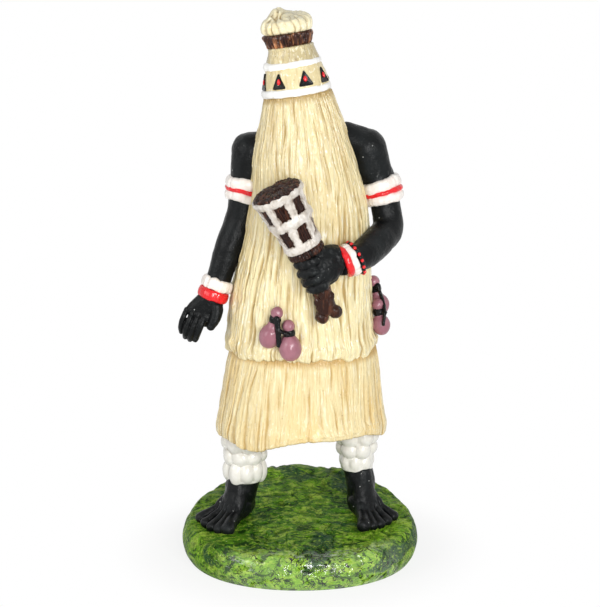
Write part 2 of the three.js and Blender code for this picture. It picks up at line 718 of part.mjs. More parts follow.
function crownBand() {
  const floor = lowerCordZ + CROWN_LOWER_CORD / 2 + GLUE_GAP;
  const ceiling = upperCordZ - CROWN_UPPER_CORD / 2 - GLUE_GAP;
  const profile = [
    [0, GLUE_GAP],
    [lowerCordBore - GLUE_GAP, GLUE_GAP],
    [lowerCordBore - GLUE_GAP, floor],
    [bandRadius(floor), floor],
    [bandRadius(ceiling), ceiling],
    [upperCordBore - GLUE_GAP, ceiling],
    [upperCordBore - GLUE_GAP, bandTopZ],
    [0, bandTopZ],
  ];
  return joined(solid(turned(profile, CROWN_SIDES)), solid(crownPeg()));
}

function hoodNeck() {
  const floor = bandTopZ + GLUE_GAP;
  const cordTop = upperCordZ + CROWN_UPPER_CORD / 2 + GLUE_GAP;
  const profile = [
    [0, floor],
    [upperCordBore - GLUE_GAP, floor],
    [upperCordBore - GLUE_GAP, cordTop],
    [NECK_RADIUS + 0.9, cordTop],
    [NECK_RADIUS + 0.2, (cordTop + neckTopZ) / 2],
    [NECK_RADIUS, neckTopZ - 1],
    [NECK_RADIUS + 0.4, neckTopZ],
    [0, neckTopZ],
  ];
  const groove = (angle) => -STRAND_GROOVE * 0.4 * (1 + Math.cos(angle * CROWN_SIDES * 0.5));
  const cone = pushedOut(turned(profile, CROWN_SIDES), groove);
  return without(solid(cone), solid(topknotStem(GLUE_GAP)));
}

function topknotTie() {
  const bore = TOPKNOT_STEM_RADIUS + GLUE_GAP;
  const rim = TIE_RADIUS - 0.7;
  const section = [
    [bore, tieZ],
    [rim, tieZ],
    [TIE_RADIUS, tieZ + TIE_HEIGHT * 0.3],
    [TIE_RADIUS, tieZ + TIE_HEIGHT * 0.7],
    [rim, tieTopZ],
    [bore, tieTopZ],
    [bore, tieZ],
  ];
  const strand = (angle, point) => {
    const isOuter = Math.hypot(point.x, point.y) > bore + 1;
    return isOuter ? -STRAND_GROOVE * 0.3 * (1 + Math.cos(angle * TIE_STRANDS)) : 0;
  };
  return solid(pushedOut(turned(section, TIE_STRANDS * 2), strand));
}

function topknotSolid() {
  const middle = topknotZ + TOPKNOT_HEIGHT * 0.42;
  const profile = Array.from({ length: 9 }, (_, i) => {
    const angle = (i / 8 - 0.5) * Math.PI;
    const half = angle < 0 ? middle - topknotZ : topknotZ + TOPKNOT_HEIGHT - middle;
    return [TOPKNOT_RADIUS * Math.max(0, Math.cos(angle)) ** 0.5, middle + half * Math.sin(angle)];
  });
  profile[0][0] = 0;
  profile[8][0] = 0;
  const lobe = (angle, point) => {
    const share = Math.hypot(point.x, point.y) / TOPKNOT_RADIUS;
    return TOPKNOT_LOBE_DEPTH * share * Math.cos(angle * TOPKNOT_LOBES + point.z * 0.3);
  };
  const bun = pushedOut(turned(profile, TOPKNOT_LOBES * 3), lobe);
  const budAt = vec(-TOPKNOT_RADIUS * 0.42, TOPKNOT_RADIUS * 0.15, topknotZ + TOPKNOT_HEIGHT * 0.9);
  return joined(solid(bun), solid(ball(budAt, TOPKNOT_BUD_RADIUS)), solid(topknotStem()));
}

// Frame on the band's cone at an angle from the front: X sideways, Y up the cone, Z outwards.
function studGroup(angle) {
  const z = (lowerCordZ + CROWN_LOWER_CORD / 2 + upperCordZ - CROWN_UPPER_CORD / 2) / 2;
  const slope = Math.atan2(CROWN_BASE_RADIUS - CROWN_TOP_RADIUS, bandTopZ);
  const group = new THREE.Group();
  const out = bandRadius(z) + GLUE_GAP;
  group.position.set(out * Math.sin(angle), -out * Math.cos(angle), z);
  group.rotation.set(Math.PI / 2 - slope, 0, angle, "ZXY");
  crown.add(group);
  return group;
}

function studSolid() {
  const corners = [
    [-STUD_WIDTH / 2, -STUD_HEIGHT / 2],
    [STUD_WIDTH / 2, -STUD_HEIGHT / 2],
    [0, STUD_HEIGHT / 2],
  ];
  const outline = new THREE.Shape(corners.map(([x, y]) => new THREE.Vector2(x, y)));
  return solid(new THREE.ExtrudeGeometry(outline, { depth: STUD_THICKNESS, bevelEnabled: false }));
}

function gemSolid() {
  const cut = new THREE.CylinderGeometry(0.25, 0.5, 1, 4).rotateX(Math.PI / 2);
  const gem = cut.scale(GEM_WIDTH, GEM_HEIGHT, GEM_THICKNESS);
  return solid(gem.translate(0, -STUD_HEIGHT / 6, STUD_THICKNESS + GLUE_GAP + GEM_THICKNESS / 2));
}

// Arms

// Offsets from the shoulder, across, forward and down, as shares of the arm's drop.
const armPoint = (side, offset, drop, across, forward, down) =>
  vec(side * offset + across * drop, SHOULDER_SETBACK - forward * drop, shoulderZ - down * drop);

const rightPoint = (...shares) => armPoint(RIGHT_SIDE, RIGHT_SHOULDER_OFFSET, RIGHT_ARM_DROP, ...shares);
const leftPoint = (...shares) => armPoint(LEFT_SIDE, LEFT_SHOULDER_OFFSET, LEFT_ARM_DROP, ...shares);

const RIGHT_ARM = [
  station(rightPoint(-0.004, 0, 0), RIGHT_SHOULDER_RADIUS),
  station(rightPoint(-0.015, 0.004, 0.105), RIGHT_SHOULDER_RADIUS * 0.97),
  station(rightPoint(-0.027, 0.01, 0.234), ELBOW_RADIUS * 1.07),
  station(rightPoint(-0.051, 0.019, 0.367), ELBOW_RADIUS * 1.02),
  station(rightPoint(-0.078, 0.029, 0.479), ELBOW_RADIUS),
  station(rightPoint(-0.15, 0.072, 0.654), ELBOW_RADIUS * 0.95),
  station(rightPoint(-0.213, 0.11, 0.844), WRIST_RADIUS * 1.1),
  station(rightPoint(-0.27, 0.137, 1), WRIST_RADIUS),
];
const LEFT_ARM = [
  station(leftPoint(0.006, 0, -0.024), LEFT_SHOULDER_RADIUS),
  station(leftPoint(0.048, 0.006, 0.114), LEFT_SHOULDER_RADIUS * 0.95),
  station(leftPoint(0.114, 0.015, 0.265), ELBOW_RADIUS * 1.1),
  station(leftPoint(0.169, 0.03, 0.416), ELBOW_RADIUS * 1.03),
  station(leftPoint(0.214, 0.054, 0.62), ELBOW_RADIUS * 0.98),
  station(leftPoint(0.229, 0.12, 0.815), ELBOW_RADIUS * 1.03),
  station(leftPoint(0.09, 0.373, 0.93), ELBOW_RADIUS * 1.03),
  station(leftPoint(-0.09, 0.633, 1.01), WRIST_RADIUS * 1.2),
  station(leftPoint(-0.28, 0.813, 1.03), WRIST_RADIUS * 1.05),
];
// From the top of each shoulder in to the neck.
const RIGHT_SLOPE = [RIGHT_ARM[0], station(rightPoint(0.114, 0, -0.049), RIGHT_SHOULDER_RADIUS * 0.75)];
const LEFT_SLOPE = [LEFT_ARM[0], station(leftPoint(-0.211, 0, -0.108), LEFT_SHOULDER_RADIUS * 0.75)];
const rightWrist = RIGHT_ARM.at(-1).at;
const leftWrist = LEFT_ARM.at(-1).at;
const rightHandWay = rightWrist.clone().sub(RIGHT_ARM.at(-2).at).normalize();
const leftHandWay = leftWrist.clone().sub(LEFT_ARM.at(-2).at).normalize();

// The shoulder's tenon, which ends inside the core.
function tenon(stations, grow = 0) {
  const shoulder = stations[0].at;
  const side = Math.sign(shoulder.x);
  const seat = vec(VEIL_ROWS[3].shift + side * (coreHalfWidthTop - TENON_SEAT - grow), 0, shoulder.z);
  return solid(rod(shoulder, seat, TENON_RADIUS + grow));
}

function wristPeg(wrist, way, grow = 0) {
  const start = wrist.clone().addScaledVector(way, PEG_RADIUS);
  const end = wrist.clone().addScaledVector(way, -PEG_DEPTH - grow);
  return solid(rod(start, end, PEG_RADIUS + grow));
}

const armGeometry = (stations, grow = 0) =>
  limbGeometry(stations, { sides: ROD_SIDES, steps: 10, grow, endRound: 0 });
const slopeOf = (stations) => (stations === RIGHT_ARM ? RIGHT_SLOPE : LEFT_SLOPE);
const armSkin = (stations, grow = 0) =>
  joined(solid(armGeometry(stations, grow)), limb(slopeOf(stations), { sides: ROD_SIDES, steps: 2, grow }));

const armLength = (stations) => limbCurves(stations).line.getLength();

// A group on an arm at a distance down from the shoulder, its Z axis down the arm.
function bandGroup(stations, distance) {
  const { at, along } = limbAt(stations, distance);
  const turn = new THREE.Quaternion().setFromUnitVectors(UP, along);
  return addGroup(at, new THREE.Euler().setFromQuaternion(turn));
}

// Right hand, hanging open with the back of the hand to the front

const fromRightWrist = (across, forward, down) =>
  rightWrist.clone().add(vec(across, -forward, -down).multiplyScalar(HAND_LENGTH));

// Knuckle and tip of each finger from the wrist, as shares of the hand's length, the index first.
const RIGHT_FINGERS = [
  { knuckle: [-0.228, 0.132, 0.412], tip: [-0.412, 0.029, 1] },
  { knuckle: [-0.382, 0.147, 0.426], tip: [-0.581, 0.044, 0.978] },
  { knuckle: [-0.522, 0.125, 0.382], tip: [-0.706, 0.022, 0.853] },
  { knuckle: [-0.632, 0.081, 0.279], tip: [-0.772, -0.022, 0.706] },
];
const RIGHT_THUMB = {
  root: [0.088, 0.147, 0.118],
  joint: [0.096, 0.25, 0.368],
  tip: [-0.007, 0.309, 0.632],
};

function rightHand(cutters) {
  const palm = limb(
    [
      station(rightWrist, WRIST_RADIUS * 0.95, WRIST_RADIUS * 0.9),
      station(fromRightWrist(-0.132, 0.044, 0.176), WRIST_RADIUS * 1.15, WRIST_RADIUS * 0.85),
      station(fromRightWrist(-0.287, 0.081, 0.338), WRIST_RADIUS * 1.35, WRIST_RADIUS * 0.75),
      station(fromRightWrist(-0.382, 0.103, 0.441), WRIST_RADIUS * 1.28, WRIST_RADIUS * 0.6),
    ],
    { steps: 6, startRound: 0, endRound: 0.4 },
  );
  const fingers = RIGHT_FINGERS.map(({ knuckle, tip }, i) => {
    const radius = FINGER_RADIUS * (i === RIGHT_FINGERS.length - 1 ? 0.85 : 1);
    const root = fromRightWrist(...knuckle);
    const end = fromRightWrist(...tip);
    const bend = root.clone().lerp(end, 0.5).addScaledVector(FRONT, radius * 0.55);
    const stations = [station(root, radius), station(bend, radius), station(end, radius * 0.85)];
    return limb(stations, { sides: 6, steps: 3 });
  });
  const { root, joint, tip } = RIGHT_THUMB;
  const thumb = limb(
    [
      station(fromRightWrist(...root), THUMB_RADIUS),
      station(fromRightWrist(...joint), THUMB_RADIUS),
      station(fromRightWrist(...tip), THUMB_RADIUS * 0.75),
    ],
    { sides: 6, steps: 3 },
  );
  const hand = without(joined(palm, ...fingers, thumb), armSkin(RIGHT_ARM, GLUE_GAP), ...cutters);
  return joined(mainBody(hand), wristPeg(rightWrist, rightHandWay));
}

// Scepter group: its axis stands in the left fist

const grip = vec(GRIP_SHIFT, -GRIP_FORWARD, shoulderZ - GRIP_DROP);
const scepterTurn = new THREE.Euler(radians(SCEPTER_FORWARD_LEAN), -radians(SCEPTER_LEAN), 0, "YXZ");
const scepter = addGroup(grip, scepterTurn);
const scepterUp = UP.clone().applyEuler(scepterTurn);
const collarZ = FIST_HALF_HEIGHT + GLUE_GAP;
const headZ = collarZ + COLLAR_HEIGHT + GLUE_GAP;
const headTopZ = headZ + HEAD_LENGTH;
const SCEPTER_SIDES = 21;

// Outer radius of the scepter's head at a height over its foot.
const headRadius = (rise) => THREE.MathUtils.lerp(HEAD_BASE_RADIUS, HEAD_TOP_RADIUS, rise / HEAD_LENGTH);
const bundleRadius = (rise) => headRadius(rise) - LATTICE_THICKNESS - GLUE_GAP;

function handleGeometry(grow = 0) {
  const tenonZ = headZ + HANDLE_TENON_LENGTH;
  const profile = [
    [0, -HANDLE_BELOW_GRIP - grow],
    [HANDLE_RADIUS + grow, -HANDLE_BELOW_GRIP],
    [HANDLE_RADIUS + grow, headZ - GLUE_GAP - COLLAR_HEIGHT / 2],
    [HANDLE_TENON_RADIUS + grow, headZ - GLUE_GAP - COLLAR_HEIGHT / 2],
    [HANDLE_TENON_RADIUS + grow, tenonZ + grow],
    [0, tenonZ + grow],
  ];
  return turned(profile, 14);
}

function handleSolid() {
  const knobs = [-1, 1].map((side) =>
    solid(ball(vec(side * KNOB_RADIUS * 0.95, 0, -HANDLE_BELOW_GRIP - KNOB_RADIUS * 0.55), KNOB_RADIUS)),
  );
  return joined(solid(handleGeometry()), ...knobs);
}

function collarGeometry(grow = 0) {
  const top = collarZ + COLLAR_HEIGHT;
  const profile = [
    [0, collarZ - grow],
    [COLLAR_RADIUS - 0.5 + grow, collarZ - grow],
    [COLLAR_RADIUS + grow, collarZ + COLLAR_HEIGHT / 2],
    [COLLAR_RADIUS - 0.3 + grow, top + grow],
    [0, top + grow],
  ];
  return turned(profile, SCEPTER_SIDES);
}

function bundleSolid() {
  const profile = [
    [0, headZ],
    [bundleRadius(0), headZ],
    [bundleRadius(HEAD_LENGTH), headTopZ],
    [bundleRadius(HEAD_LENGTH) * 0.6, headTopZ + HEAD_DOME * 0.8],
    [0, headTopZ + HEAD_DOME],
  ];
  return without(solid(turned(profile, SCEPTER_SIDES)), solid(handleGeometry(GLUE_GAP)));
}

// Woven white sleeve: two staggered rows of windows show the bundle behind.
function latticeSolid() {
  const floor = headZ;
  const inner = (rise) => bundleRadius(rise) + GLUE_GAP;
  const section = [
    [inner(0), floor],
    [headRadius(0) + 0.2, floor],
    [headRadius(0) + 0.3, floor + 1.4],
    [headRadius(2.2), floor + 2.2],
    [headRadius(HEAD_LENGTH - 2.2), floor + HEAD_LENGTH - 2.2],
    [headRadius(HEAD_LENGTH) + 0.3, floor + HEAD_LENGTH - 1.2],
    [headRadius(HEAD_LENGTH), floor + HEAD_LENGTH],
    [inner(HEAD_LENGTH), floor + HEAD_LENGTH],
    [inner(0), floor],
  ];
  const rows = [
    { at: UPPER_WINDOW_AT, height: UPPER_WINDOW_HEIGHT, stagger: 0 },
    { at: LOWER_WINDOW_AT, height: LOWER_WINDOW_HEIGHT, stagger: 0.5 },
  ];
  const windows = rows.flatMap(({ at, height, stagger }) =>
    Array.from({ length: LATTICE_WINDOWS }, (_, i) => {
      const box = new THREE.BoxGeometry(WINDOW_WIDTH, HEAD_TOP_RADIUS, height);
      box.translate(0, -headRadius(at) - HEAD_TOP_RADIUS / 2 + LATTICE_THICKNESS * 2, floor + at);
      return solid(box.rotateZ(((i + stagger) / LATTICE_WINDOWS) * TURN));
    }),
  );
  return without(solid(turned(section, SCEPTER_SIDES)), ...windows);
}

// Left hand, closed round the scepter's handle

function leftFist(cutters) {
  const toGrip = grip.clone().sub(leftWrist);
  const way = toGrip.clone().addScaledVector(scepterUp, -toGrip.dot(scepterUp)).normalize();
  const out = scepterUp.clone().cross(way).normalize();
  if (out.dot(FRONT) < 0) out.negate();
  const ref = way.clone().cross(scepterUp);
  const inFist = (along, up, forward) =>
    grip.clone().addScaledVector(way, along).addScaledVector(scepterUp, up).addScaledVector(out, forward);
  const back = limb(
    [
      station(leftWrist, WRIST_RADIUS * 0.95),
      station(inFist(-FIST_LENGTH * 0.62, 0, 0), FIST_HALF_HEIGHT * 0.84, FIST_HALF_THICKNESS * 0.9),
      station(
        inFist(-FIST_LENGTH * 0.15, 0, FIST_HALF_THICKNESS * 0.08),
        FIST_HALF_HEIGHT * 0.97,
        FIST_HALF_THICKNESS,
      ),
      station(inFist(FIST_LENGTH * 0.2, 0, 0), FIST_HALF_HEIGHT * 0.92, FIST_HALF_THICKNESS * 0.92),
    ],
    { sides: ROD_SIDES, steps: 5, ref, startRound: 0, endRound: 0.3 },
  );
  const pitch = (FIST_HALF_HEIGHT * 2 - FIST_FINGER_RADIUS * 2) / 3;
  const fingers = [0, 1, 2, 3].map((i) => {
    const up = FIST_HALF_HEIGHT - FIST_FINGER_RADIUS - i * pitch;
    const stations = [
      station(inFist(-FIST_LENGTH * 0.25, up, FIST_HALF_THICKNESS * 0.72), FIST_FINGER_RADIUS),
      station(inFist(FIST_LENGTH * 0.24, up, FIST_HALF_THICKNESS * 0.66), FIST_FINGER_RADIUS),
      station(inFist(FIST_LENGTH * 0.34, up, -FIST_HALF_THICKNESS * 0.4), FIST_FINGER_RADIUS * 0.9),
    ];
    return limb(stations, { sides: 6, steps: 4, ref });
  });
  const inThumb = (along, up, forward) =>
    inFist(FIST_LENGTH * along, FIST_HALF_HEIGHT * up, FIST_HALF_THICKNESS * forward);
  const thumb = limb(
    [
      station(inThumb(-0.6, 0.5, 0.19), THUMB_RADIUS),
      station(inThumb(-0.2, 0.82, 0.46), THUMB_RADIUS),
      station(inThumb(0.12, 0.72, 0.69), THUMB_RADIUS * 0.9),
    ],
    { sides: 6, steps: 3, ref },
  );
  const hand = without(joined(back, ...fingers, thumb), armSkin(LEFT_ARM, GLUE_GAP), ...cutters);
  return joined(mainBody(hand), wristPeg(leftWrist, leftHandWay));
}

// Gourds

// Places on the veil: bearing from +X, height over the hem as a share of the veil's drop,
// lean in the tangent plane and lean outwards.
const GOURD_PAIRS = [
  {
    name: "front",
    upper: { bearing: -115, rise: 0.106, lean: 17, tip: 0, share: 0.98 },
    lower: { bearing: -99, rise: 0.064, lean: -4, tip: 0, share: 1.06 },
    tailShift: 0.5,
  },
  {
    name: "side",
    upper: { bearing: 2, rise: 0.164, lean: 6, tip: -16, share: 0.9 },
    lower: { bearing: -17, rise: 0.095, lean: 4, tip: -14, share: 1 },
    tailShift: 0.4,
  },
];

// A point of the veil's envelope with its outward way, at a bearing and a height over the hem.
function veilPoint(bearing, rise) {
  const { shift, wide, deep } = strawRowAt(VEIL_ROWS, rise);
  const angle = radians(bearing);
  const point = vec(shift + wide * Math.cos(angle), deep * Math.sin(angle), veilHemZ + rise);
  const out = vec(Math.cos(angle) / wide, Math.sin(angle) / deep, 0).normalize();
  return { point, out };
}

// Middle of a gourd's body and the way of its stalk end.
function gourdPlace({ bearing, rise, lean, tip }) {
  const { point, out } = veilPoint(bearing, rise * VEIL_DROP);
  const aside = UP.clone().cross(out);
  const up = UP.clone().applyAxisAngle(out, -radians(lean)).applyAxisAngle(aside, radians(tip));
  return { at: point.addScaledVector(out, GOURD_STANDOFF), up, out, aside };
}

const GOURD_SIDES = 10;

function gourdGeometry(share, grow = 0) {
  const body = GOURD_RADIUS * share + grow;
  const half = GOURD_HALF_HEIGHT * share;
  const waistZ = half * 1.2;
  const outline = new THREE.SplineCurve(
    [
      [0.001, -half - grow],
      [body * 0.7, -half * 0.72 - grow],
      [body, -half * 0.05],
      [body * 0.78, half * 0.62],
      [GOURD_WAIST_RADIUS + grow, waistZ],
      [GOURD_BULB_RADIUS + grow, waistZ + GOURD_BULB_RADIUS * 1.05],
      [GOURD_BULB_RADIUS * 0.7 + grow, waistZ + GOURD_BULB_RADIUS * 1.85],
      [0.001, waistZ + GOURD_BULB_RADIUS * 2.2 + grow],
    ].map(([x, y]) => new THREE.Vector2(x, y)),
  ).getPoints(9);
  outline[0].x = 0;
  outline.at(-1).x = 0;
  return turned(outline.map((p) => [Math.max(0, p.x), p.y]), GOURD_SIDES);
}

const gourdSolid = (gourd, grow = 0) => {
  const { at, up } = gourdPlace(gourd);
  return solid(laid(gourdGeometry(gourd.share, grow), at, up));
};

// Ribbon of a pair: a ring round each waist and a tail that hangs between the bodies.
function ribbonSolid(pair) {
  const rings = [pair.upper, pair.lower].map((gourd) => {
    const { at, up } = gourdPlace(gourd);
    const waist = at.clone().addScaledVector(up, GOURD_HALF_HEIGHT * gourd.share * 1.2);
    const ring = cordRing(GOURD_WAIST_RADIUS * 1.07, RIBBON_THICKNESS, RIBBON_TAIL_WIDTH * 0.9, GOURD_SIDES);
    return { waist, shape: solid(laid(ring, waist, up)) };
  });
  const { out } = gourdPlace(pair.upper);
  const [top, low] = rings.map((ring) => ring.waist);
  const reach = GOURD_WAIST_RADIUS + RIBBON_THICKNESS * 0.7;
  const start = top.clone().addScaledVector(out, reach * 0.8);
  const towards = low.clone().sub(top).setZ(0).normalize();
  start.addScaledVector(towards, reach * pair.tailShift);
  const middle = low.clone().addScaledVector(towards, -reach).addScaledVector(out, reach * 0.3);
  const end = middle.clone().addScaledVector(UP, -RIBBON_TAIL_LENGTH * 0.75);
  end.addScaledVector(out, RIBBON_THICKNESS * 0.75);
  const tail = limb(
    [start, middle, end].map((at) => station(at, RIBBON_TAIL_WIDTH / 2, RIBBON_THICKNESS / 2)),
    { sides: 6, steps: 4, ref: out, startRound: 0.4, endRound: 0.3 },
  );
  return joined(...rings.map((ring) => ring.shape), tail);
}

// Assembly

// Legs, gaiters and base
const legGrown = LEGS.map((leg) => legSolid(leg, GLUE_GAP));
addPiece("base_mound", without(baseSolid(), ...legGrown), FINISH.grass);
const gaiterCutters = [];
LEGS.forEach((leg) => {
  addPiece(`${leg.name}_leg`, mainBody(without(legSolid(leg), belowSole(leg))), FINISH.skin);
  let floor = soleOf(leg) + leg.ankle;
  leg.tiers.forEach((tier) => {
    addPiece(`${leg.name}_gaiter_${tier.name}`, gaiterTier(leg, tier, floor), FINISH.white);
    gaiterCutters.push(gaiterTier(leg, tier, floor, GLUE_GAP));
    floor += tier.height + GLUE_GAP;
  });
});

// Skirt, core and veil
const skirt = strawSolid(SKIRT_ROWS, skirtHemZ, {
  strands: SKIRT_STRANDS,
  levels: SKIRT_LEVELS,
  groove: STRAND_GROOVE * 0.6,
  hem: skirtHem,
});
const skirtCutters = [skirtRecess(), coreSolid(GLUE_GAP), ...legGrown, ...gaiterCutters];
addPiece("lower_skirt", mainBody(without(skirt, ...skirtCutters)), FINISH.straw);
const armsGrown = [RIGHT_ARM, LEFT_ARM].flatMap((arm) => [armSkin(arm, GLUE_GAP), tenon(arm, GLUE_GAP)]);
addPiece("torso_core", without(coreSolid(), ...armsGrown), FINISH.skin);

// Arms, hands and their bands
const ARMS = [
  {
    name: "right",
    stations: RIGHT_ARM,
    peg: wristPeg(rightWrist, rightHandWay, GLUE_GAP),
    bandAt: RIGHT_ARMBAND_AT,
  },
  {
    name: "left",
    stations: LEFT_ARM,
    peg: wristPeg(leftWrist, leftHandWay, GLUE_GAP),
    bandAt: LEFT_ARMBAND_AT,
  },
];
const crownPegGrown = inStatue(crown, crownPeg(GLUE_GAP));
const veilCutters = [coreSolid(GLUE_GAP), skirtEnvelope(GLUE_GAP), crownPegGrown, ...armsGrown];

// Rings stacked round an arm in one group. Returns the pocket that they take in the veil and the hand.
function addRings(stations, middle, rings) {
  const group = bandGroup(stations, middle);
  const armThere = solid(armGeometry(stations, GLUE_GAP).applyMatrix4(group.matrixWorld.clone().invert()));
  const boreAt = (at) => limbAt(stations, middle + at).radius + GLUE_GAP;
  rings.forEach(({ name, at, thickness, height, finish, beads }) => {
    const bore = boreAt(at);
    const ring = solid(cordRing(bore, thickness, height).translate(0, 0, at));
    const raised = beads ? braceletBeads(bore + thickness * 0.8, at) : [];
    addPiece(name, without(joined(ring, ...raised), armThere), finish, group);
  });
  const low = Math.min(...rings.map(({ at, height }) => at - height / 2)) - GLUE_GAP;
  const high = Math.max(...rings.map(({ at, height }) => at + height / 2)) + GLUE_GAP;
  const bead = rings.some(({ beads }) => beads) ? BEAD_RADIUS : 0;
  const reach = Math.max(...rings.map(({ at, thickness }) => boreAt(at) + thickness)) + bead + GLUE_GAP;
  const pocketRadius = reach / Math.cos(Math.PI / ROD_SIDES);
  const pocket = inStatue(group, rod(vec(0, 0, low), vec(0, 0, high), pocketRadius));
  veilCutters.push(pocket);
  return pocket;
}

// Raised beads round the bracelet.
function braceletBeads(reach, height) {
  return Array.from({ length: BEAD_COUNT }, (_, i) => {
    const angle = (i / BEAD_COUNT) * TURN;
    const bead = new THREE.OctahedronGeometry(BEAD_RADIUS).rotateZ(angle);
    return solid(bead.translate(reach * Math.cos(angle), reach * Math.sin(angle), height));
  });
}

const armRoll = { thickness: ARMBAND_ROLL_THICKNESS, height: ARMBAND_ROLL_HEIGHT, finish: FINISH.white };
const armCord = { thickness: ARMBAND_CORD_THICKNESS, height: ARMBAND_CORD_HEIGHT, finish: FINISH.red };
const rollStep = (ARMBAND_CORD_HEIGHT + ARMBAND_ROLL_HEIGHT) / 2 + GLUE_GAP;
ARMS.forEach(({ name, stations, peg, bandAt }) => {
  const arm = joined(armSkin(stations), tenon(stations));
  addPiece(`${name}_arm`, without(arm, peg), FINISH.skin);
  addRings(stations, bandAt, [
    { ...armRoll, name: `${name}_armband_upper`, at: -rollStep },
    { ...armCord, name: `${name}_armband_cord`, at: 0 },
    { ...armRoll, name: `${name}_armband_lower`, at: rollStep },
  ]);
});

// Wristbands: a red cord at the wrist, a white roll behind it, and on the left a bead bracelet.
function addWristbands(name, stations, rollHeight, cordHeight, braceletHeight = 0) {
  const band = (piece, at, height, finish) => {
    return { name: `${name}_${piece}`, at, thickness: WRIST_BAND_THICKNESS, height, finish };
  };
  const beside = (height) => (rollHeight + height) / 2 + GLUE_GAP;
  const rings = [
    band("wrist_roll", 0, rollHeight, FINISH.white),
    band("wrist_cord", beside(cordHeight), cordHeight, FINISH.red),
  ];
  if (braceletHeight) {
    const bracelet = band("bead_bracelet", -beside(braceletHeight), braceletHeight, FINISH.black);
    rings.push({ ...bracelet, beads: true });
  }
  const rollBack = cordHeight + GLUE_GAP * 2 + rollHeight / 2;
  return addRings(stations, armLength(stations) - rollBack, rings);
}

const rightPocket = addWristbands("right", RIGHT_ARM, WRIST_ROLL_HEIGHT, WRIST_CORD_HEIGHT);
const leftPocket = addWristbands(
  "left",
  LEFT_ARM,
  LEFT_WRIST_ROLL_HEIGHT,
  LEFT_WRIST_CORD_HEIGHT,
  BRACELET_HEIGHT,
);
addPiece("right_hand", rightHand([rightPocket, veilEnvelope(GLUE_GAP)]), FINISH.skin);
const held = [handleGeometry(GLUE_GAP), collarGeometry(GLUE_GAP)].map((shape) => inStatue(scepter, shape));
addPiece("left_hand", leftFist([leftPocket, veilEnvelope(GLUE_GAP), ...held]), FINISH.skin);

const veil = strawSolid(VEIL_ROWS, veilHemZ, {
  strands: VEIL_STRANDS,
  levels: VEIL_LEVELS,
  groove: STRAND_GROOVE,
  hem: veilHem,
});
addPiece("straw_veil", mainBody(without(veil, ...veilCutters)), FINISH.straw);

// Crown
addPiece("crown_band", crownBand(), FINISH.khaki, crown);
addPiece("crown_lower_cord", solid(lowerCord()), FINISH.white, crown);
addPiece("crown_upper_cord", solid(upperCord()), FINISH.white, crown);
addPiece("hood_neck", hoodNeck(), FINISH.straw, crown);
addPiece("topknot_tie", topknotTie(), FINISH.brown, crown);
addPiece("topknot", topknotSolid(), FINISH.straw, crown);
for (let i = 0; i < STUD_COUNT; i++) {
  const group = studGroup(radians(STUD_FIRST_ANGLE) + (i / STUD_COUNT) * TURN);
  addPiece(`crown_stud_${i + 1}`, studSolid(), FINISH.black, group);
  addPiece(`crown_gem_${i + 1}`, gemSolid(), FINISH.red, group);
}

// Scepter
addPiece("scepter_handle", handleSolid(), FINISH.brown, scepter);
const collar = without(solid(collarGeometry()), solid(handleGeometry(GLUE_GAP)));
addPiece("scepter_collar", collar, FINISH.brown, scepter);
addPiece("scepter_bundle", bundleSolid(), FINISH.brown, scepter);
addPiece("scepter_lattice", latticeSolid(), FINISH.white, scepter);

// Gourds and their ribbons
GOURD_PAIRS.forEach((pair) => {
  const grown = [pair.upper, pair.lower].map((gourd) => gourdSolid(gourd, GLUE_GAP));
  const behind = veilEnvelope(GLUE_GAP);
  addPiece(`${pair.name}_gourd_upper`, without(gourdSolid(pair.upper), behind), FINISH.mauve);
  const lower = mainBody(without(gourdSolid(pair.lower), behind, grown[0]));
  addPiece(`${pair.name}_gourd_lower`, lower, FINISH.mauve);
  const ribbon = mainBody(without(ribbonSolid(pair), behind, ...grown));
  addPiece(`${pair.name}_gourd_ribbon`, ribbon, FINISH.black);
});

export default statue;
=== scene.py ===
"""Looks of a painted resin orisha statuette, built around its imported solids.

Sizes in the classes are millimetres in the statuette's own frame, and meshes are in metres.
The figure faces -Y, and left and right are its own: its right side is at -X.
"""

import logging
import math
from dataclasses import dataclass
from enum import Enum
from typing import Callable, Sequence

import bpy
import numpy as np
from mathutils import Matrix, Vector


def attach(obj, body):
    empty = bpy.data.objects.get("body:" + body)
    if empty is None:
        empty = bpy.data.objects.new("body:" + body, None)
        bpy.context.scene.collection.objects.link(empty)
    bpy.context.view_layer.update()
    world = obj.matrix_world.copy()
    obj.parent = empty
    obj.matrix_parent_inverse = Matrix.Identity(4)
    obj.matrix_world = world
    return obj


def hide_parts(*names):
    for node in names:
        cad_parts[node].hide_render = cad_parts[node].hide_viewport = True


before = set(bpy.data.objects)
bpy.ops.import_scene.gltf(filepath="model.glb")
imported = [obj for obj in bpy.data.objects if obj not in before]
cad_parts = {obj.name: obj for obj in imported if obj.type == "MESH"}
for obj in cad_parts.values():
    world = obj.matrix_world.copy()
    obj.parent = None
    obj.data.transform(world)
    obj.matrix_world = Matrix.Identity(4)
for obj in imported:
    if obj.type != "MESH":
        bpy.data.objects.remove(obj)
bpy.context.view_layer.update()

LOG = logging.getLogger("orisha_statue")
MM = 0.001
TURN = 2 * math.pi
BODY = "root"
WELD = 1e-6
SEEN_RAYS = ("Is Camera Ray", "Is Glossy Ray", "Is Transmission Ray")

Array = np.ndarray
Piece = bpy.types.Object
Numbers = Sequence[float]
Arrays = tuple[Array, Array]
Pair = tuple[float, float]
Triple = tuple[float, float, float]
Colour = tuple[int, int, int]
Shape = Callable[[Array, Array], "Form"]
Relief = Callable[[Array, Array], Arrays]
Wave = Callable[[Array], Array]
Setting = object


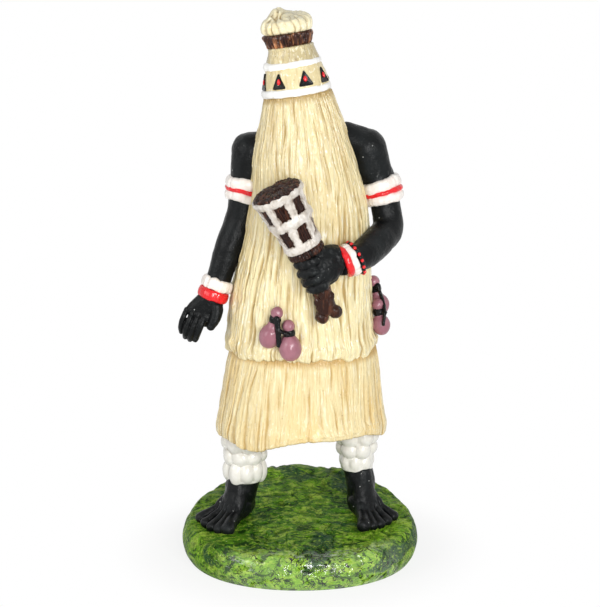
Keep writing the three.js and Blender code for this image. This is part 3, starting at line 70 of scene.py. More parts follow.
class Slot(Enum):
    """Material slots, one of which each finish carries."""

    GRASS = "grass_paint"
    SKIN = "skin_paint"
    STRAW = "straw_paint"
    KHAKI = "khaki_paint"
    WHITE = "white_paint"
    RED = "red_paint"
    BLACK = "black_paint"
    BROWN = "brown_paint"
    MAUVE = "mauve_paint"
    RESIN = "bare_resin"


class Side(Enum):
    """The figure's own sides."""

    RIGHT = -1
    LEFT = 1


# Numbers over surfaces


def linear(colour: Colour) -> tuple[float, float, float, float]:
    """Gives a display colour as scene-linear light.

    Args:
        colour: Red, green and blue from 0 to 255.

    Returns:
        Red, green, blue and an alpha of one.
    """
    shares = [c / 255 for c in colour]
    light = [s / 12.92 if s <= 0.04045 else ((s + 0.055) / 1.055) ** 2.4 for s in shares]
    return light[0], light[1], light[2], 1.0


def ease(low: float, high: float, value: Array) -> Array:
    """Rises smoothly from 0 at low to 1 at high."""
    t = np.clip((value - low) / (high - low), 0, 1)
    return t * t * (3 - 2 * t)


def hump(distance: Array, spread: float) -> Array:
    """A bell of height one round zero distance."""
    return np.exp(-((distance / spread) ** 2))


def spline(points: Array, t: Array) -> Array:
    """Follows a smooth curve through control points.

    Args:
        points: Control points, one in each row.
        t: Shares of the way, from 0 at the first point to 1 at the last.

    Returns:
        One point for each share.
    """
    last = len(points) - 1
    padded = np.vstack([2 * points[0] - points[1], points, 2 * points[-1] - points[-2]])
    place = np.clip(t, 0, 1) * last
    start = np.minimum(place.astype(int), last - 1)
    w = (place - start)[:, None]
    p0, p1, p2, p3 = (padded[start + i] for i in range(4))

    def knot(a: Array, b: Array) -> Array:
        """The knot step between neighbours."""
        return np.maximum(np.linalg.norm(b - a, axis=1, keepdims=True) ** 0.5, 1e-4)

    d0, d1, d2 = knot(p0, p1), knot(p1, p2), knot(p2, p3)
    m1 = ((p1 - p0) / d0 - (p2 - p0) / (d0 + d1) + (p2 - p1) / d1) * d1
    m2 = ((p2 - p1) / d1 - (p3 - p1) / (d1 + d2) + (p3 - p2) / d2) * d1
    cubic = 2 * p1 - 2 * p2 + m1 + m2
    square = -3 * p1 + 3 * p2 - 2 * m1 - m2
    return p1 + m1 * w + square * w**2 + cubic * w**3


def unit(vectors: Array) -> Array:
    """Vectors brought to a length of one."""
    return vectors / np.linalg.norm(vectors, axis=-1, keepdims=True)


def moved(points: Array, matrix: Matrix) -> Array:
    """Points carried from a piece's own frame into the statuette's."""
    m = np.array(matrix)
    return points @ m[:3, :3].T + m[:3, 3]


def ringed(radius: Array, angle: Array, z: Array) -> Array:
    """Points at a radius and an angle round the Z axis."""
    return np.column_stack([radius * np.cos(angle), radius * np.sin(angle), z])


def even(step: float) -> list[float]:
    """The scale of a pattern with a step of so many millimetres every way."""
    return [1 / (step * MM)] * 3


def crease(phase: Array, sharpness: float) -> Array:
    """One in the creases between strands, at each half turn of the phase, and zero on their crests."""
    return (1 - np.abs(np.sin(phase))) ** sharpness


def rotation(degrees: float, axis: str) -> Matrix:
    """A turn about an axis."""
    return Matrix.Rotation(math.radians(degrees), 4, axis)


def frame_along(at: Numbers, way: Numbers) -> Matrix:
    """Frame at a point with its Z axis along a way."""
    turn = Vector((0, 0, 1)).rotation_difference(Vector(way)).to_matrix().to_4x4()
    return Matrix.Translation(Vector(at)) @ turn


class Grain:
    """Smooth seeded noise from -1 to 1."""

    SIZE = 4096
    PRIMES = (73856093, 19349663, 83492791)

    def __init__(self, seed: int) -> None:
        """Draws the lattice values from a seed."""
        self.table = np.random.default_rng(seed).uniform(-1, 1, self.SIZE)

    def at(self, x: Array, y: Array | float = 0.0, z: Array | float = 0.0) -> Array:
        """Reads the noise.

        Args:
            x: First coordinates, in lattice steps.
            y: Second coordinates.
            z: Third coordinates.

        Returns:
            One value for each place.
        """
        x, y, z = np.broadcast_arrays(np.asarray(x, float), y, z)
        cells = [np.floor(c).astype(np.int64) for c in (x, y, z)]
        parts = [c - i for c, i in zip((x, y, z), cells)]
        fades = [p * p * (3 - 2 * p) for p in parts]
        total = np.zeros_like(x)
        for corner in range(8):
            steps = [(corner >> axis) & 1 for axis in range(3)]
            i, j, k = ((c + s) * prime for c, s, prime in zip(cells, steps, self.PRIMES))
            weight = np.ones_like(x)
            for fade, step in zip(fades, steps):
                weight = weight * (fade if step else 1 - fade)
            total += weight * self.table[(i ^ j ^ k) & (self.SIZE - 1)]
        return total

    def around(self, angle: Array, reach: float, z: Array | float = 0.0, shift: float = 0.0) -> Array:
        """Reads the noise on a circle of that reach in lattice steps, where it closes on itself."""
        return self.at(np.cos(angle) * reach + shift, np.sin(angle) * reach, z)


@dataclass
class Form:
    """Points of a mesh in millimetres, and how deep in a groove each lies: 1 is deep and -1 a crest."""

    points: Array
    groove: Array | None = None


# Modelling steps as by hand, each leaving the piece at the origin in object mode


def deselect() -> None:
    """Goes to object mode with nothing selected."""
    if bpy.context.mode != "OBJECT":
        bpy.ops.object.mode_set(mode="OBJECT")
    bpy.ops.object.select_all(action="DESELECT")


def pick(obj: Piece) -> None:
    """Selects one object and makes it active."""
    deselect()
    obj.select_set(True)
    bpy.context.view_layer.objects.active = obj


def edit_all(obj: Piece) -> None:
    """Opens an object in edit mode with everything selected."""
    pick(obj)
    bpy.ops.object.mode_set(mode="EDIT")
    bpy.ops.mesh.select_all(action="SELECT")


def named(name: str) -> Piece:
    """Names the object that was just made."""
    bpy.context.object.name = name
    return bpy.context.object


def smooth(obj: Piece) -> None:
    """Shades an object smooth."""
    pick(obj)
    bpy.ops.object.shade_smooth()


def vectors_of(items: bpy.types.bpy_prop_collection, key: str) -> Array:
    """One vector of each of a mesh's points or faces."""
    flat = np.empty(len(items) * 3, np.float32)
    items.foreach_get(key, flat)
    return flat.reshape(-1, 3)


def points_of(obj: Piece) -> Array:
    """A mesh's points in its own units."""
    return vectors_of(obj.data.vertices, "co").astype(float)


def set_form(obj: Piece, form: Form) -> None:
    """Gives a mesh the points of a form.

    Args:
        obj: The piece.
        form: The points, and groove values where it has them.
    """
    mesh = obj.data
    mesh.vertices.foreach_set("co", (form.points * MM).astype(np.float32).ravel())
    if form.groove is not None:
        values = mesh.attributes.new("groove", "FLOAT", "POINT")
        values.data.foreach_set("value", np.clip(form.groove, -1, 1).astype(np.float32))
    mesh.update()


def close_up(obj: Piece) -> None:
    """Joins a mesh's seams and poles and turns its faces outwards.

    Args:
        obj: The piece.
    """
    edit_all(obj)
    bpy.ops.mesh.remove_doubles(threshold=WELD)
    bpy.ops.mesh.normals_make_consistent(inside=False)
    bpy.ops.object.mode_set(mode="OBJECT")
    bpy.ops.object.shade_smooth()


def rolled(name: str, columns: int, rows: int, shape: Shape, ring: bool = False) -> Piece:
    """Rolls a grid up into a closed form.

    Args:
        name: The piece's name.
        columns: Faces round the form.
        rows: Faces along it.
        shape: Gives the form's points from column and row numbers.
        ring: True if the last row meets the first.

    Returns:
        The new piece.
    """
    deselect()
    bpy.ops.mesh.primitive_grid_add(x_subdivisions=columns, y_subdivisions=rows, size=1)
    obj = named(name)
    grid = points_of(obj)
    column = np.rint((grid[:, 0] + 0.5) * columns).astype(int) % columns
    row = np.rint((grid[:, 1] + 0.5) * rows).astype(int)
    set_form(obj, shape(column, row % rows if ring else row))
    close_up(obj)
    return obj


def modify(obj: Piece, kind: str, **settings: Setting) -> None:
    """Adds a modifier, sets it and applies it.

    Args:
        obj: The piece.
        kind: The modifier's type.
        settings: Its settings.
    """
    pick(obj)
    bpy.ops.object.modifier_add(type=kind)
    modifier = obj.modifiers[-1]
    for key, value in settings.items():
        setattr(modifier, key, value)
    bpy.ops.object.modifier_apply(modifier=modifier.name)


def joined(name: str, parts: Sequence[Piece]) -> Piece:
    """Joins meshes into one object.

    Args:
        name: The piece's name.
        parts: The meshes.

    Returns:
        The piece.
    """
    pick(parts[0])
    for part in parts:
        part.select_set(True)
    bpy.ops.object.join()
    return named(name)


def fused(name: str, parts: Sequence[Piece], voxel: float, rounds: int) -> Piece:
    """Joins overlapping meshes and casts them into one skin.

    Args:
        name: The piece's name.
        parts: Closed meshes that overlap.
        voxel: Fineness of the skin in millimetres.
        rounds: Rounds of smoothing.

    Returns:
        The new piece.
    """
    obj = joined(name, parts)
    modify(obj, "REMESH", mode="VOXEL", voxel_size=voxel * MM, use_smooth_shade=True)
    modify(obj, "SMOOTH", factor=0.5, iterations=rounds)
    smooth(obj)
    return obj


def roughened(obj: Piece, depth: float, step: float, seed: int) -> None:
    """Gives a mesh the small unevenness of a hand-worked casting.

    Args:
        obj: The piece.
        depth: How far points move, in millimetres.
        step: Size of the lumps in millimetres.
        seed: Seed of the noise.
    """
    points = points_of(obj) / MM
    lumps = Grain(seed).at(*(points / step).T)
    normals = vectors_of(obj.data.vertices, "normal")
    set_form(obj, Form(points + normals * (depth * lumps)[:, None]))


def creased(obj: Piece, depth: float = 0.03, rounds: int = 3) -> None:
    """Marks how deep in a crease each point of a mesh lies.

    Args:
        obj: The piece.
        depth: How far a point of a full crease lies below its neighbours, in millimetres.
        rounds: Rounds of evening out.
    """
    points = points_of(obj) / MM
    ends = np.empty(len(obj.data.edges) * 2, np.int32)
    obj.data.edges.foreach_get("vertices", ends)
    pairs = ends.reshape(-1, 2)
    count = np.maximum(np.bincount(ends, minlength=len(points)), 1)

    def near(values: Array) -> Array:
        """Mean of each point's neighbours."""
        first = np.bincount(pairs[:, 0], values[pairs[:, 1]], len(points))
        return (first + np.bincount(pairs[:, 1], values[pairs[:, 0]], len(points))) / count

    means = np.column_stack([near(points[:, axis]) for axis in range(3)])
    lift = ((means - points) * vectors_of(obj.data.vertices, "normal")).sum(axis=1)
    for _ in range(rounds):
        lift = near(lift)
    set_form(obj, Form(points, lift / depth))


def ball(name: str, at: Numbers, radii: Numbers, turn: Matrix | None = None) -> Piece:
    """Adds an egg-shaped ball.

    Args:
        name: The piece's name.
        at: Its middle in millimetres.
        radii: Its half sizes.
        turn: A turn of the ball about its middle.

    Returns:
        The new piece.
    """
    deselect()
    bpy.ops.mesh.primitive_ico_sphere_add(subdivisions=3, radius=1)
    obj = named(name)
    place = Matrix.Translation(Vector(at)) @ (turn or Matrix.Identity(4))
    set_form(obj, Form(moved(points_of(obj) * np.array(radii), place)))
    return obj


def limb(
    name: str, stations: Sequence[Numbers], columns: int = 24, rows: int = 30,
    front: Numbers = (0, -1, 0), ends: Pair = (1.0, 1.0),
) -> Piece:
    """Draws a rod of changing oval section through stations.

    Args:
        name: The piece's name.
        stations: Middle, half width and half depth at each station, in millimetres.
        columns: Faces round the rod.
        rows: Faces along it.
        front: The way that the section's depth leans to.
        ends: How far each end is rounded, as a share of its half width.

    Returns:
        The new piece.
    """
    caps = 5
    step = 5e-3
    given = np.array(stations, float)

    def shape(column: Array, row: Array) -> Form:
        """Points of the rod."""
        t = np.clip((row - caps) / rows, 0, 1)
        start = np.clip(1 - row / caps, 0, 1) * math.pi / 2
        end = np.clip((row - caps - rows) / caps, 0, 1) * math.pi / 2
        at = spline(given[:, :3], t)
        along = unit(spline(given[:, :3], t + step) - spline(given[:, :3], t - step))
        size = spline(given[:, 3:5], t)
        across = unit(np.cross(np.array(front, float), along))
        deep = np.cross(along, across)
        angle = column / columns * TURN
        share = (np.cos(start) * np.cos(end))[:, None]
        shift = (np.sin(end) * ends[1] - np.sin(start) * ends[0])[:, None]
        points = at + along * shift * size[:, :1]
        points = points + across * size[:, :1] * share * np.cos(angle)[:, None]
        points = points + deep * size[:, 1:2] * share * np.sin(angle)[:, None]
        return Form(points)

    return rolled(name, columns, rows + 2 * caps, shape)


def swept(profile: Array, share: Array) -> Arrays:
    """Follows a profile, which is closed where it starts or ends on the axis.

    Args:
        profile: Radius and height pairs.
        share: Shares of the way along it.

    Returns:
        Radius and height at each share.
    """
    curve = spline(profile, share)
    radius = np.maximum(curve[:, 0], 0)
    for end, first in ((0, profile[0, 0]), (1, profile[-1, 0])):
        radius[(share == end) & (first == 0)] = 0
    return radius, curve[:, 1]


def turned(
    name: str, profile: Sequence[Pair], place: Matrix, columns: int, rows: int,
    relief: Relief,
) -> Piece:
    """Turns a profile round the Z axis of a frame.

    Args:
        name: The piece's name.
        profile: Radius and height pairs, from one end to the other.
        place: The frame.
        columns: Faces round the piece.
        rows: Faces along the profile.
        relief: Gives the move outwards and the groove value from angle and height.

    Returns:
        The new piece.
    """
    given = np.array(profile, float)

    def shape(column: Array, row: Array) -> Form:
        """Points of the turned piece."""
        angle = column / columns * TURN
        radius, z = swept(given, row / rows)
        out, groove = relief(angle, z)
        radius = radius + out * np.clip(radius / 2, 0, 1)
        return Form(moved(ringed(radius, angle, z), place), groove)

    return rolled(name, columns, rows, shape)


def banded(
    name: str, place: Matrix, bore: float, thickness: float, height: float, bulge: Wave,
    sway: Wave = np.zeros_like, square: float = 0.7, columns: int = 120,
) -> Piece:
    """Lays a soft-looking ring round the Z axis of a frame.

    Args:
        name: The piece's name.
        place: The frame.
        bore: Inner radius.
        thickness: How far the ring stands out from the bore.
        height: The ring's height.
        bulge: Fullness of the ring at an angle, one for its plain size.
        sway: Shift along Z at an angle.
        square: Roundness of the section: 1 is round, less is squarer.
        columns: Faces round the ring.

    Returns:
        The new piece.
    """
    rows = 20
    sunk, thin, fill, stain = 0.8, 0.55, 0.45, 1.4

    def shape(column: Array, row: Array) -> Form:
        """Points of the ring."""
        angle = column / columns * TURN
        section = row / rows * TURN
        full = bulge(angle)
        flat = np.sign(np.cos(section)) * np.abs(np.cos(section)) ** square
        out = np.where(flat > 0, flat * thickness * full, flat * sunk)
        tall = np.sin(section) * height / 2 * (thin + fill * full)
        points = ringed(bore + out, angle, tall + sway(angle))
        return Form(moved(points, place), (1 - full) * stain * (flat > 0))

    return rolled(name, columns, rows, shape, ring=True)


# Paint


class Wire:
    """A value in a material, on which Python's operators add Math nodes."""

    def __init__(self, sheet: "PaintSheet", socket: bpy.types.NodeSocket) -> None:
        """Wraps one output socket."""
        self.sheet = sheet
        self.socket = socket

    def _math(self, operation: str, first: "Wire | float", second: "Wire | float") -> "Wire":
        """Adds one Math node."""
        return self.sheet.node("Math", {"operation": operation}, {0: first, 1: second})

    def __add__(self, other: "Wire | float") -> "Wire":
        """Sum."""
        return self._math("ADD", self, other)

    def __sub__(self, other: "Wire | float") -> "Wire":
        """Difference."""
        return self._math("SUBTRACT", self, other)

    def __rsub__(self, other: float) -> "Wire":
        """Difference from a number."""
        return self._math("SUBTRACT", other, self)

    def __mul__(self, other: "Wire | float") -> "Wire":
        """Product."""
        return self._math("MULTIPLY", self, other)

    def __lt__(self, other: "Wire | float") -> "Wire":
        """One where less."""
        return self._math("LESS_THAN", self, other)

    __radd__ = __add__
    __rmul__ = __mul__

    def ease(self, low: float, high: float) -> "Wire":
        """Rises smoothly from 0 at low to 1 at high."""
        settings = {"interpolation_type": "SMOOTHSTEP"}
        sockets = {"Value": self, "From Min": low, "From Max": high}
        return self.sheet.node("MapRange", settings, sockets)


class PaintSheet:
    """The node tree of one material, or of the world."""

    def __init__(self, owner: bpy.types.Material | bpy.types.World) -> None:
        """Starts with an empty tree."""
        owner.use_nodes = True
        self.owner = owner
        self.tree = owner.node_tree
        self.tree.nodes.clear()

    def node(
        self, kind: str, settings: dict[str, Setting] | None = None,
        inputs: dict[str | int, Setting] | None = None, output: str | int = 0,
    ) -> Wire:
        """Adds any node.

        Args:
            kind: The node's type, without its first words ShaderNode.
            settings: Its own settings, set first.
            inputs: Values or wires for its sockets, by name or number.
            output: The socket that is handed on.

        Returns:
            The node's output.
        """
        made = self.tree.nodes.new(f"ShaderNode{kind}")
        for key, value in (settings or {}).items():
            setattr(made, key, value)
        for key, value in (inputs or {}).items():
            if isinstance(value, Wire):
                self.tree.links.new(value.socket, made.inputs[key])
            else:
                made.inputs[key].default_value = value
        return Wire(self, made.outputs[output]) if len(made.outputs) else Wire(self, None)

    def place(self, scale: Numbers, uv: bool = False) -> Wire:
        """Coordinates in steps for each metre, or for each whole way along the piece's own map."""
        source = self.node("TexCoord", output="UV" if uv else "Object")
        return self.node("VectorMath", {"operation": "MULTIPLY"}, {0: source, 1: tuple(scale)})

    def along(self, way: Numbers) -> Wire:
        """Metres from the origin along a way."""
        sockets = {0: self.place((1.0, 1.0, 1.0)), 1: way}
        return self.node("VectorMath", {"operation": "DOT_PRODUCT"}, sockets, "Value")

    def away(self, scale: Numbers) -> Wire:
        """Metres from the origin, with each axis counted by a scale."""
        return self.node("VectorMath", {"operation": "LENGTH"}, {0: self.place(scale)}, "Value")

    def seen(self) -> Wire:
        """One for what is seen, straight or by way of a reflection, and zero for other light."""
        rays = (self.node("LightPath", output=name) for name in SEEN_RAYS)
        camera, glossy, through = rays
        return (camera + glossy + through).ease(0.0, 1.0)

    def bump(self, height: Wire, depth: float) -> Wire:
        """A normal from a height, with the depth in millimetres."""
        return self.node("Bump", {}, {"Height": height, "Strength": 1.0, "Distance": depth * MM})

    def noise(self, scale: Numbers, detail: float = 2.0, uv: bool = False, twist: float = 0.0) -> Wire:
        """Cloudy noise from about 0.3 to 0.7."""
        sockets = {"Vector": self.place(scale, uv), "Scale": 1.0, "Detail": detail, "Distortion": twist}
        return self.node("TexNoise", {}, sockets)

    def dots(self, step: float, radius: float, share: float) -> Wire:
        """Round specks.

        Args:
            step: Spacing in millimetres.
            radius: Radius in millimetres.
            share: The share of the specks that shows.

        Returns:
            One in a speck and zero elsewhere.
        """
        where = self.place(even(step))
        near = self.node("TexVoronoi", {}, {"Vector": where, "Scale": 1.0}, "Distance")
        draw = self.node("TexVoronoi", {}, {"Vector": where, "Scale": 1.0}, "Color")
        value = self.node("SeparateColor", {}, {"Color": draw})
        return (1 - near.ease(radius / step * 0.6, radius / step)) * (value < share)

    def mix(self, factor: Wire | float, first: Setting, second: Setting) -> Wire:
        """Mixes two colours, each a wire or a display colour."""
        one, other = (c if isinstance(c, Wire) else linear(c) for c in (first, second))
        return self.node("Mix", {"data_type": "RGBA"}, {0: factor, 6: one, 7: other}, 2)

    def groove(self) -> Wire:
        """The mesh's groove values."""
        return self.node("Attribute", {"attribute_name": "groove"}, {}, "Fac")


@dataclass(frozen=True)
class Finish:
    """A hand-painted finish: a base colour, a wash that settles in grooves, and varnish."""

    name: str
    slot: Slot
    paint: Colour
    wash: Colour
    worn: Colour
    roughness: float = 0.34
    coat: float = 0.35
    coat_roughness: float = 0.14
    stroke: float = 2.5
    bump: float = 0.04
    shine: float = 0.5
    marks_step: float = 0.6
    gloss_step: float = 3.0

    def colour(self, sheet: PaintSheet) -> Wire:
        """The paint over the surface: brush strokes, wash in grooves and small worn places."""
        strokes = sheet.noise(even(self.stroke), 3.0, twist=0.6)
        brushed = sheet.mix(strokes.ease(0.35, 0.68), self.paint, self.worn)
        return sheet.mix(sheet.groove().ease(0.05, 0.9), brushed, self.wash)

    def height(self, sheet: PaintSheet) -> Wire:
        """Fine brush marks."""
        return sheet.noise(even(self.marks_step), 3.0)

    def gloss(self, sheet: PaintSheet) -> Wire:
        """Roughness with the unevenness of brushed varnish."""
        return sheet.noise(even(self.gloss_step)) * 0.24 + (self.roughness - 0.12)

    def surface(self, sheet: PaintSheet, sockets: dict[str, Setting]) -> Wire:
        """The shader with its sockets filled in."""
        return sheet.node("BsdfPrincipled", {}, sockets)

    def material(self) -> bpy.types.Material:
        """Builds the material once and hands it out again after that.

        Returns:
            The material.
        """
        made = bpy.data.materials.get(self.name)
        if made is not None:
            return made
        sheet = PaintSheet(bpy.data.materials.new(self.name))
        bump = sheet.bump(self.height(sheet), self.bump)
        sockets = {
            "Base Color": self.colour(sheet),
            "Roughness": self.gloss(sheet),
            "Normal": bump,
            "Coat Weight": self.coat,
            "Coat Roughness": self.coat_roughness,
            "Specular IOR Level": self.shine,
        }
        sheet.node("OutputMaterial", {}, {"Surface": self.surface(sheet, sockets)})
        return sheet.owner


@dataclass(frozen=True)
class StrawPaint(Finish):
    """Cream paint with ochre in the grooves, yellowed patches and casting pinholes, with painted highlights
    on the strands and painted shade higher up.
    """

    patch: Colour = (238, 217, 162)
    hole: Colour = (128, 100, 56)
    fibres: Pair = (420.0, 16.0)
    patch_from: float = 0.5
    lumps: float = 3.4
    # Painted highlights: crest colours the pale streaks and glint the small dashes laid on the strands as if
    # light caught them
    crest: Colour = (255, 249, 218)
    glint: Colour = (255, 255, 246)
    streaks: Pair = (190.0, 11.0)
    # brushed is how strongly the painted highlight streaks and glints show
    brushed: float = 0.7
    # Painted shade: share by which the straw turns to the wash colour towards the top, between the heights
    # of shade_span
    shaded: float = 0.0
    shade_span: Pair = (100.0, 150.0)
    pinholes: Triple = (3.4, 0.2, 0.5)

    def fibre(self, sheet: PaintSheet) -> Wire:
        """Hair lines along the strands."""
        return sheet.noise((self.fibres[0], self.fibres[1], 1.0), 3.0, uv=True, twist=0.3)

    def colour(self, sheet: PaintSheet) -> Wire:
        """Cream with yellow patches, painted highlight streaks and glints, painted shade higher up, hair
        lines, ochre grooves and pinholes.
        """
        lines = self.fibre(sheet)
        patches = sheet.noise((70.0, 70.0, 32.0), 2.0).ease(self.patch_from, self.patch_from + 0.22)
        crest = sheet.mix(patches, self.paint, self.patch)
        crest = sheet.mix(lines.ease(0.46, 0.7) * 0.45, crest, self.worn)
        # Painted highlight: pale streaks along the strands
        streaks = sheet.noise((*self.streaks, 1.0), 2.0, uv=True, twist=0.5).ease(0.56, 0.63)
        crest = sheet.mix(streaks * self.brushed, crest, self.crest)
        # Painted shade: darker towards the top
        upper = sheet.along((0, 0, 1)).ease(*(height * MM for height in self.shade_span))
        crest = sheet.mix(upper * self.shaded, crest, self.wash)
        # Painted highlight: small glints on the strands
        glints = sheet.noise((self.streaks[0] * 1.6, self.streaks[1] * 4.0, 1.0), 2.0, uv=True, twist=0.4)
        crest = sheet.mix(glints.ease(0.63, 0.67) * self.brushed, crest, self.glint)
        depth = sheet.groove() + lines * 0.3 - 0.15
        washed = sheet.mix(depth.ease(0.05, 0.85), crest, self.wash)
        return sheet.mix(sheet.dots(*self.pinholes) * 0.75, washed, self.hole)

    def height(self, sheet: PaintSheet) -> Wire:
        """Hair lines, brushed lumps and pinholes."""
        lumps = sheet.noise((820.0, 820.0, 300.0), 2.0, twist=0.5)
        return self.fibre(sheet) * 0.9 + lumps * self.lumps - sheet.dots(*self.pinholes) * 1.5


@dataclass(frozen=True)
class SkinPaint(Finish):
    """Satin black paint with soft grey rubbing, a few light scuffs, painted highlights on crests and painted
    shade in creases.
    """

    # Painted highlight: crest is the grey laid on raised places
    crest: Colour = (58, 62, 62)
    scuff: Colour = (112, 114, 112)
    speck: Colour = (205, 208, 204)
    specks: Triple = (2.7, 0.2, 0.42)

    def colour(self, sheet: PaintSheet) -> Wire:
        """Black with a grey bloom, painted highlights on crests, painted shade in creases, scuffs and pale
        specks.
        """
        bloom = sheet.noise((160.0, 160.0, 110.0), 3.0).ease(0.42, 0.72)
        skin = sheet.mix(bloom * 0.6, self.paint, self.worn)
        # Painted highlight: lighter on the crests
        skin = sheet.mix((0 - sheet.groove()).ease(0.1, 1.0) * 0.5, skin, self.crest)
        # Painted shade: darker in the creases
        skin = sheet.mix(sheet.groove().ease(0.0, 0.8), skin, self.wash)
        scuffs = sheet.noise((900.0, 900.0, 420.0), 2.0, twist=1.2).ease(0.7, 0.78)
        skin = sheet.mix(scuffs * 0.5, skin, self.scuff)
        return sheet.mix(sheet.dots(*self.specks), skin, self.speck)

    def gloss(self, sheet: PaintSheet) -> Wire:
        """Satin with glossier rubbed places."""
        return self.roughness + 0.12 - sheet.noise((240.0, 240.0, 240.0), 3.0) * 0.22


@dataclass(frozen=True)
class GrassPaint(Finish):
    """Brushed greens with dark curls and pale specks, varnished round the rim, with a painted highlight on
    its front.
    """

    deep: Colour = (26, 62, 16)
    pale: Colour = (170, 202, 78)
    # Painted highlight: a lighter green for the front of the rim, where the lamps light it most
    painted_rim_light: Colour = (134, 182, 54)
    blue: Colour = (34, 74, 54)
    mark: Colour = (10, 20, 10)
    speck: Colour = (214, 226, 196)
    specks: Triple = (3.0, 0.16, 0.4)
    pits: Triple = (2.4, 0.22, 0.4)
    rim_span: Pair = (33.0, 39.0)
    front_way: Triple = (0.16, -0.98, 0.0)
    front_span: Pair = (23.0, 37.0)
    wet_shine: float = 0.9
    wet_roughness: float = 0.05

    def curls(self, sheet: PaintSheet, step: float, width: float, share: float) -> Wire:
        """Thin dark curls in patches.

        Args:
            step: Size of the curls in millimetres.
            width: Width of their lines, as a share of the step.
            share: How much of the surface has none.

        Returns:
            One on a line and zero elsewhere.
        """
        lines = sheet.noise(even(step), 1.0, twist=2.2)
        away = sheet.node("Math", {"operation": "ABSOLUTE"}, {0: lines - 0.5})
        patches = sheet.noise([0.45 / (step * MM)] * 3, 1.0).ease(share, share + 0.06)
        return (1 - away.ease(width * 0.4, width)) * patches

    def marks(self, sheet: PaintSheet) -> Wire:
        """All the curls and pits."""
        both = self.curls(sheet, 5.0, 0.026, 0.43) + self.curls(sheet, 3.1, 0.032, 0.46)
        return (both + sheet.dots(*self.pits)).ease(0.0, 1.0)

    def colour(self, sheet: PaintSheet) -> Wire:
        """Broad patches, a painted highlight on the front of the rim, brush strokes, curls and specks."""
        broad = sheet.noise((46.0, 60.0, 60.0), 2.0, twist=1.4)
        strokes = sheet.noise((64.0, 104.0, 96.0), 4.0, twist=3.4)
        fine = sheet.noise((300.0, 520.0, 480.0), 3.0, twist=2.2)
        green = sheet.mix(broad.ease(0.4, 0.6), self.paint, self.worn)
        # Painted highlight: the front of the rim is made lighter green, as if lit
        green = sheet.mix(self.rim(sheet) * self.front(sheet) * 0.8, green, self.painted_rim_light)
        green = sheet.mix(strokes.ease(0.53, 0.6) * 0.75, green, self.pale)
        green = sheet.mix((1 - strokes.ease(0.39, 0.45)) * 0.85, green, self.deep)
        cool = sheet.noise((34.0, 40.0, 70.0), 2.0, twist=0.9).ease(0.57, 0.62)
        green = sheet.mix(cool * 0.8, green, self.blue)
        green = sheet.mix(fine.ease(0.56, 0.62) * 0.65, green, self.pale)
        green = sheet.mix((1 - fine.ease(0.35, 0.41)) * 0.65, green, self.deep)
        green = sheet.mix(sheet.groove() * 0.6, green, self.deep)
        green = sheet.mix(self.marks(sheet) * (self.front(sheet) * 0.6 + 0.4), green, self.mark)
        return sheet.mix(sheet.dots(*self.specks), green, self.speck)

    def rim(self, sheet: PaintSheet) -> Wire:
        """One on the rim and zero on the top."""
        return sheet.away((1.0, 1.0, 0.0)).ease(*(reach * MM for reach in self.rim_span))

    def front(self, sheet: PaintSheet) -> Wire:
        """One at the front of the base and zero at its middle and back."""
        return sheet.along(self.front_way).ease(*(reach * MM for reach in self.front_span))

    def wet(self, sheet: PaintSheet) -> Wire:
        """Share of wet varnish: pools of it along the front of the rim."""
        pools = sheet.noise((150.0, 210.0, 210.0), 2.0, twist=0.8).ease(0.32, 0.46)
        return self.rim(sheet) * self.front(sheet) * pools * 0.95 + 0.04

    def surface(self, sheet: PaintSheet, sockets: dict[str, Setting]) -> Wire:
        """Wet varnish round the rim over dry paint on the top.

        Args:
            sheet: The sheet to paint on.
            sockets: Values of the dry paint's sockets.

        Returns:
            The mixed shader.
        """
        dry = sheet.node("BsdfPrincipled", {}, sockets)
        soft = sheet.noise((170.0, 300.0, 280.0), 3.0, twist=1.4) * 1.6
        skin = sheet.bump(soft, self.bump)
        gloss = {"Specular IOR Level": self.wet_shine, "Roughness": self.wet_roughness, "Normal": skin}
        wet = sheet.node("BsdfPrincipled", {}, sockets | gloss)
        return sheet.node("MixShader", {}, {0: self.wet(sheet), 1: dry, 2: wet})

    def height(self, sheet: PaintSheet) -> Wire:
        """Brush ridges and curls."""
        ridges = sheet.noise((420.0, 700.0, 600.0), 4.0, twist=1.2)
        return ridges * 3.2 - self.marks(sheet) * 1.4


@dataclass(frozen=True)
class BrownPaint(Finish):
    """Dark brown paint with lighter dry-brushed straw lines."""

    lines: Triple = (520.0, 520.0, 90.0)

    def colour(self, sheet: PaintSheet) -> Wire:
        """Brown with rubbed straw lines and dark grooves."""
        streaks = sheet.noise(self.lines, 3.0, twist=0.4)
        brushed = sheet.mix(streaks.ease(0.48, 0.72) * 0.9, self.paint, self.worn)
        return sheet.mix(sheet.groove().ease(0.1, 0.9), brushed, self.wash)

    def height(self, sheet: PaintSheet) -> Wire:
        """Straw lines."""
        return sheet.noise(self.lines, 3.0, twist=0.4) * 2.0


GRASS = GrassPaint(
    "grass_paint_brushed", Slot.GRASS, (76, 128, 26), (30, 62, 18), (116, 166, 36), 0.34, 0.0, 0.05,
    bump=0.42, shine=0.02,
)
SKIN = SkinPaint(
    "skin_black_satin", Slot.SKIN, (11, 13, 14), (3, 3, 4), (30, 34, 35), 0.32, 0.0, 0.12,
    bump=0.16, shine=0.15,
)
STRAW = StrawPaint(
    "straw_cream_washed", Slot.STRAW, (241, 227, 179), (184, 156, 98), (228, 211, 158), 0.13, 0.0, 0.06,
    bump=0.17, shine=0.55, shaded=0.22,
)
SKIRT_STRAW = StrawPaint(
    "straw_skirt_washed", Slot.STRAW, (232, 215, 166), (192, 158, 94), (224, 200, 144), 0.26, 0.0, 0.08,
    bump=0.11, shine=0.45, streaks=(150.0, 6.0), brushed=0.35, patch=(234, 208, 148), patch_from=0.46,
)
